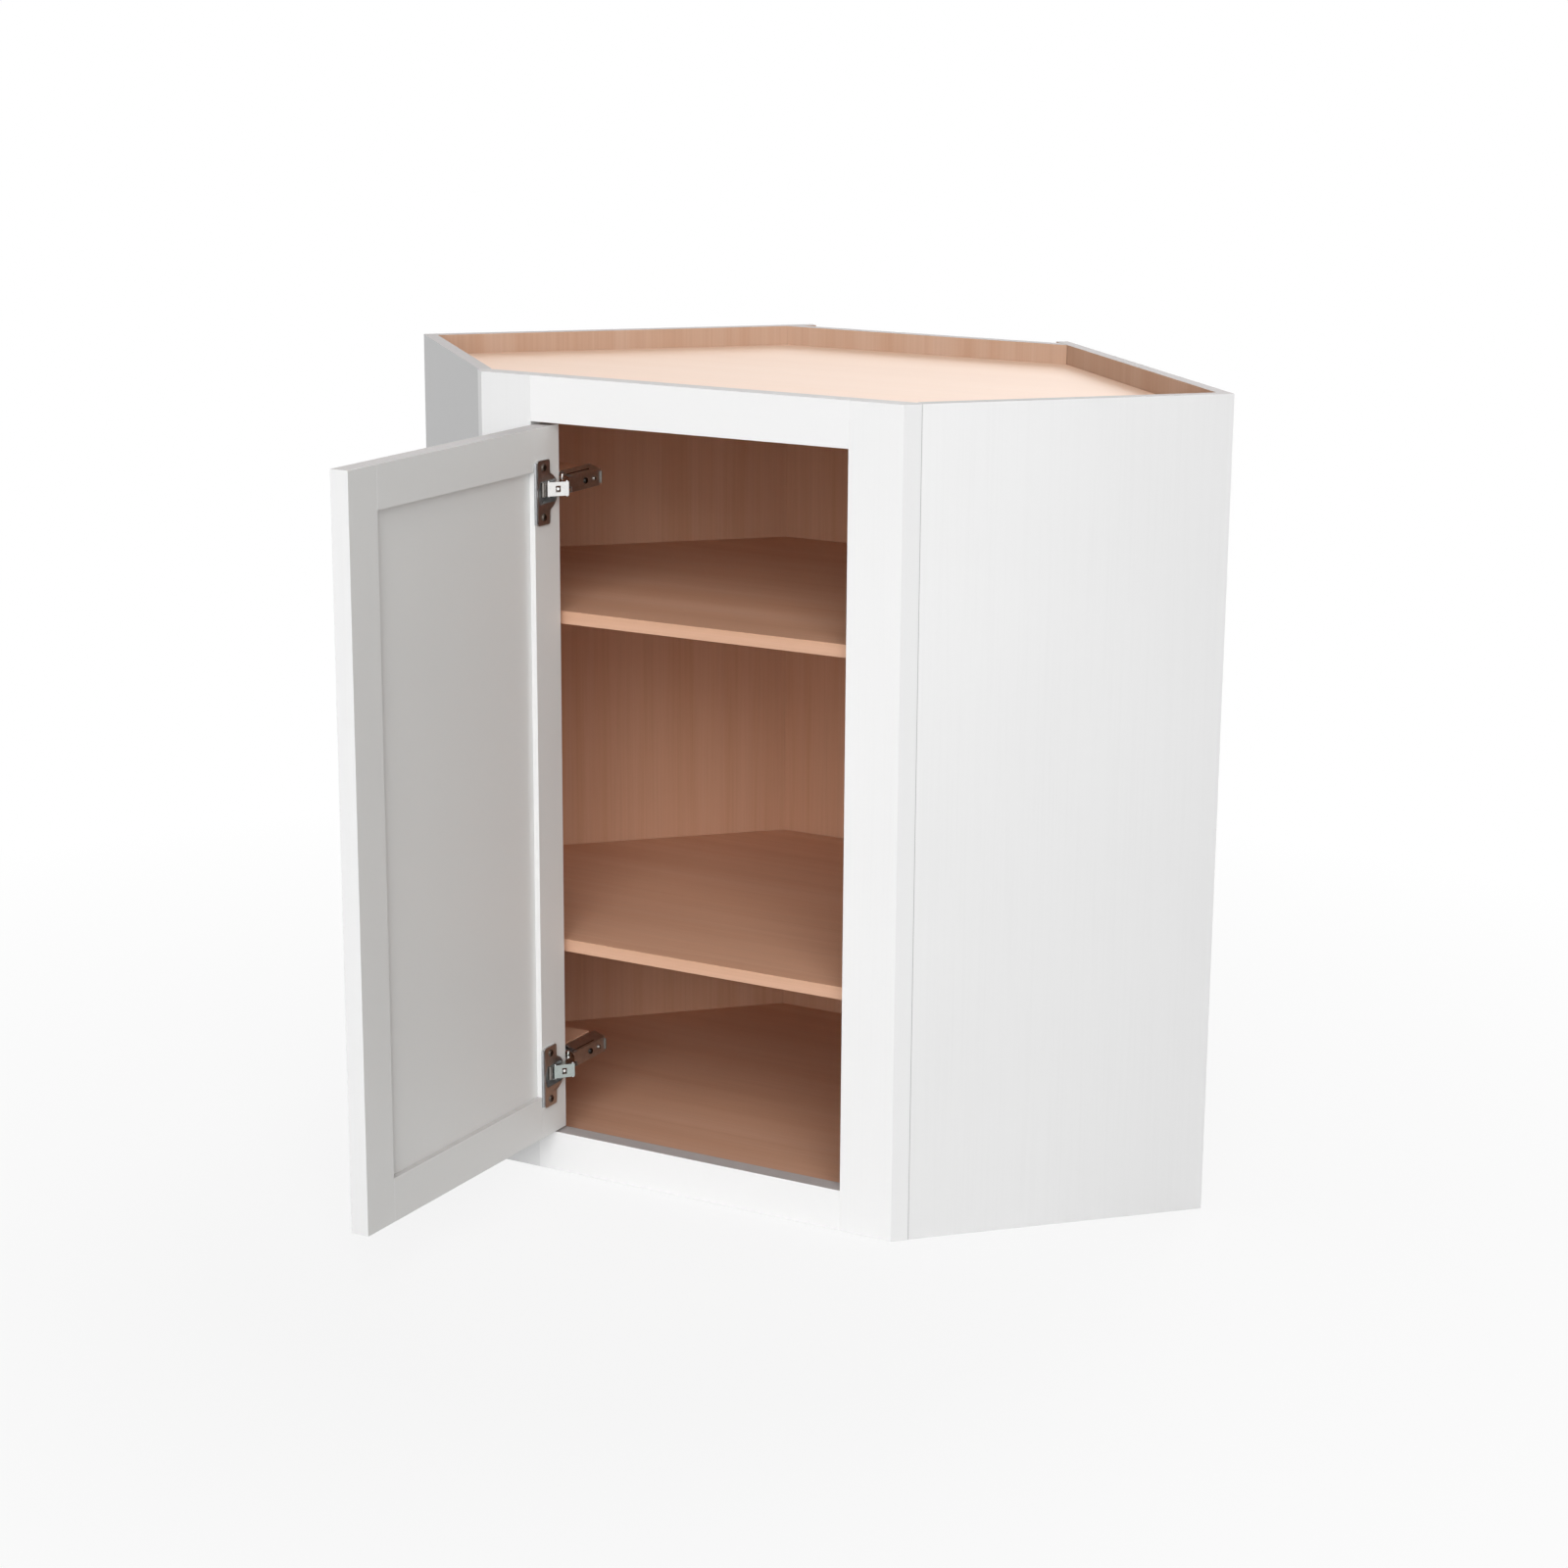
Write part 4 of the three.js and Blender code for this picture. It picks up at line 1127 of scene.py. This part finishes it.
def make_floor():
    """A pale floor that shows as white and keeps a light shadow near the cabinet."""
    mesh = bpy.data.meshes.new("floor")
    low = cad_box[0].z - FLOOR_DROP
    corners = [(x, y, low) for x, y in ((-1, -1), (1, -1), (1, 1), (-1, 1))]
    mesh.from_pydata([(x * FLOOR_HALF, y * FLOOR_HALF, z) for x, y, z in corners], [], [(0, 1, 2, 3)])
    floor = bpy.data.objects.new("floor", mesh)
    bpy.context.scene.collection.objects.link(floor)
    material, tree, texture = new_finish("pale studio floor")
    diffuse = add_node(tree, "ShaderNodeBsdfDiffuse", {"Color": linear(FLOOR_GREY)})
    glow = add_node(tree, "ShaderNodeEmission", {"Color": linear(WHITE), "Strength": 1.0})
    distance = add_node(
        tree, "ShaderNodeVectorMath", {0: texture.outputs["Object"]}, operation="LENGTH"
    )
    whiteness = add_node(
        tree,
        "ShaderNodeMapRange",
        {
            "Value": distance.outputs["Value"],
            "From Min": SHADOW_NEAR,
            "From Max": SHADOW_FAR,
            "To Min": SHADOW_WHITENESS,
            "To Max": 1.0,
        },
    )
    share = add_node(
        tree,
        "ShaderNodeMath",
        {0: seen_background(tree), 1: whiteness.outputs["Result"]},
        operation="MULTIPLY",
    )
    mixed = add_node(
        tree,
        "ShaderNodeMixShader",
        {0: share.outputs["Value"], 1: diffuse.outputs["BSDF"], 2: glow.outputs["Emission"]},
    )
    add_node(tree, "ShaderNodeOutputMaterial", {"Surface": mixed.outputs["Shader"]})
    mesh.materials.append(material)


def make_world():
    """White behind the object, and a little soft light from all round."""
    world = bpy.data.worlds.new("studio")
    bpy.context.scene.world = world
    world.use_nodes = True
    tree = world.node_tree
    tree.nodes.clear()
    ambient = add_node(
        tree, "ShaderNodeBackground", {"Color": linear(WHITE), "Strength": AMBIENT_STRENGTH}
    )
    backdrop = add_node(tree, "ShaderNodeBackground", {"Color": linear(WHITE), "Strength": 1.0})
    mixed = add_node(
        tree,
        "ShaderNodeMixShader",
        {
            0: seen_background(tree),
            1: ambient.outputs["Background"],
            2: backdrop.outputs["Background"],
        },
    )
    add_node(tree, "ShaderNodeOutputWorld", {"Surface": mixed.outputs["Shader"]})


LIGHT_SPREAD = math.radians(40)
# each soft light: its name, azimuth to the cabinet's right and height in degrees, and strength
SOFT_LIGHTS = (
    ("left front light", -15, 8, 0.27),
    ("front light", 10, 8, 0.53),
    ("right front light", 30, 8, 0.41),
    ("right light", 50, 8, 0.26),
    ("key light", 30, 35, 1.42),
    ("top light", 0, 88, 0.55),
    ("rear light", 180, 30, 0.95),
    ("left rear light", -165, 30, 0.5),
    ("left light", -100, 8, 0.3),
)


def make_lights():
    """Distant soft lights, so that each white face is lit evenly from end to end."""
    for name, azimuth, height, strength in SOFT_LIGHTS:
        lamp = bpy.data.lights.new(name, "SUN")
        lamp.energy = strength
        lamp.angle = LIGHT_SPREAD
        lamp_object = bpy.data.objects.new(name, lamp)
        bpy.context.scene.collection.objects.link(lamp_object)
        turn, rise = math.radians(azimuth), math.radians(height)
        level = math.cos(rise)
        towards = Vector((math.sin(turn) * level, -math.cos(turn) * level, math.sin(rise)))
        lamp_object.rotation_euler = (-towards).to_track_quat("-Z", "Y").to_euler()


# the camera that fits the photograph's corners, its lens in mm on a frame 36 mm wide
CAMERA_PLACE = Vector((1.4428, -2.4440, 1.1311))
CAMERA_YAW = math.radians(28.747)
CAMERA_PITCH = math.radians(14.416)
CAMERA_ROLL = math.radians(0.394)
CAMERA_LENS = 74.02
CAMERA_FRAME = 36.0
CAMERA_NEAR = 0.05
CAMERA_FAR = 60.0


def make_camera():
    """The photograph's viewpoint."""
    data = bpy.data.cameras.new("camera")
    data.sensor_width = CAMERA_FRAME
    data.lens = CAMERA_LENS
    data.clip_start = CAMERA_NEAR
    data.clip_end = CAMERA_FAR
    camera = bpy.data.objects.new("camera", data)
    bpy.context.scene.collection.objects.link(camera)
    ahead = Vector(
        (
            -math.sin(CAMERA_YAW) * math.cos(CAMERA_PITCH),
            math.cos(CAMERA_YAW) * math.cos(CAMERA_PITCH),
            -math.sin(CAMERA_PITCH),
        )
    )
    # sideways and up before the roll, and then turned by it
    across = Vector((math.cos(CAMERA_YAW), math.sin(CAMERA_YAW), 0))
    up = across.cross(ahead)
    right = across * math.cos(CAMERA_ROLL) + up * math.sin(CAMERA_ROLL)
    top = up * math.cos(CAMERA_ROLL) - across * math.sin(CAMERA_ROLL)
    turn = Matrix((right, top, -ahead)).transposed().to_4x4()
    camera.matrix_world = Matrix.Translation(CAMERA_PLACE) @ turn
    bpy.context.scene.camera = camera


make_floor()
make_world()
make_lights()
make_camera()
bpy.context.scene.view_settings.view_transform = "Standard"
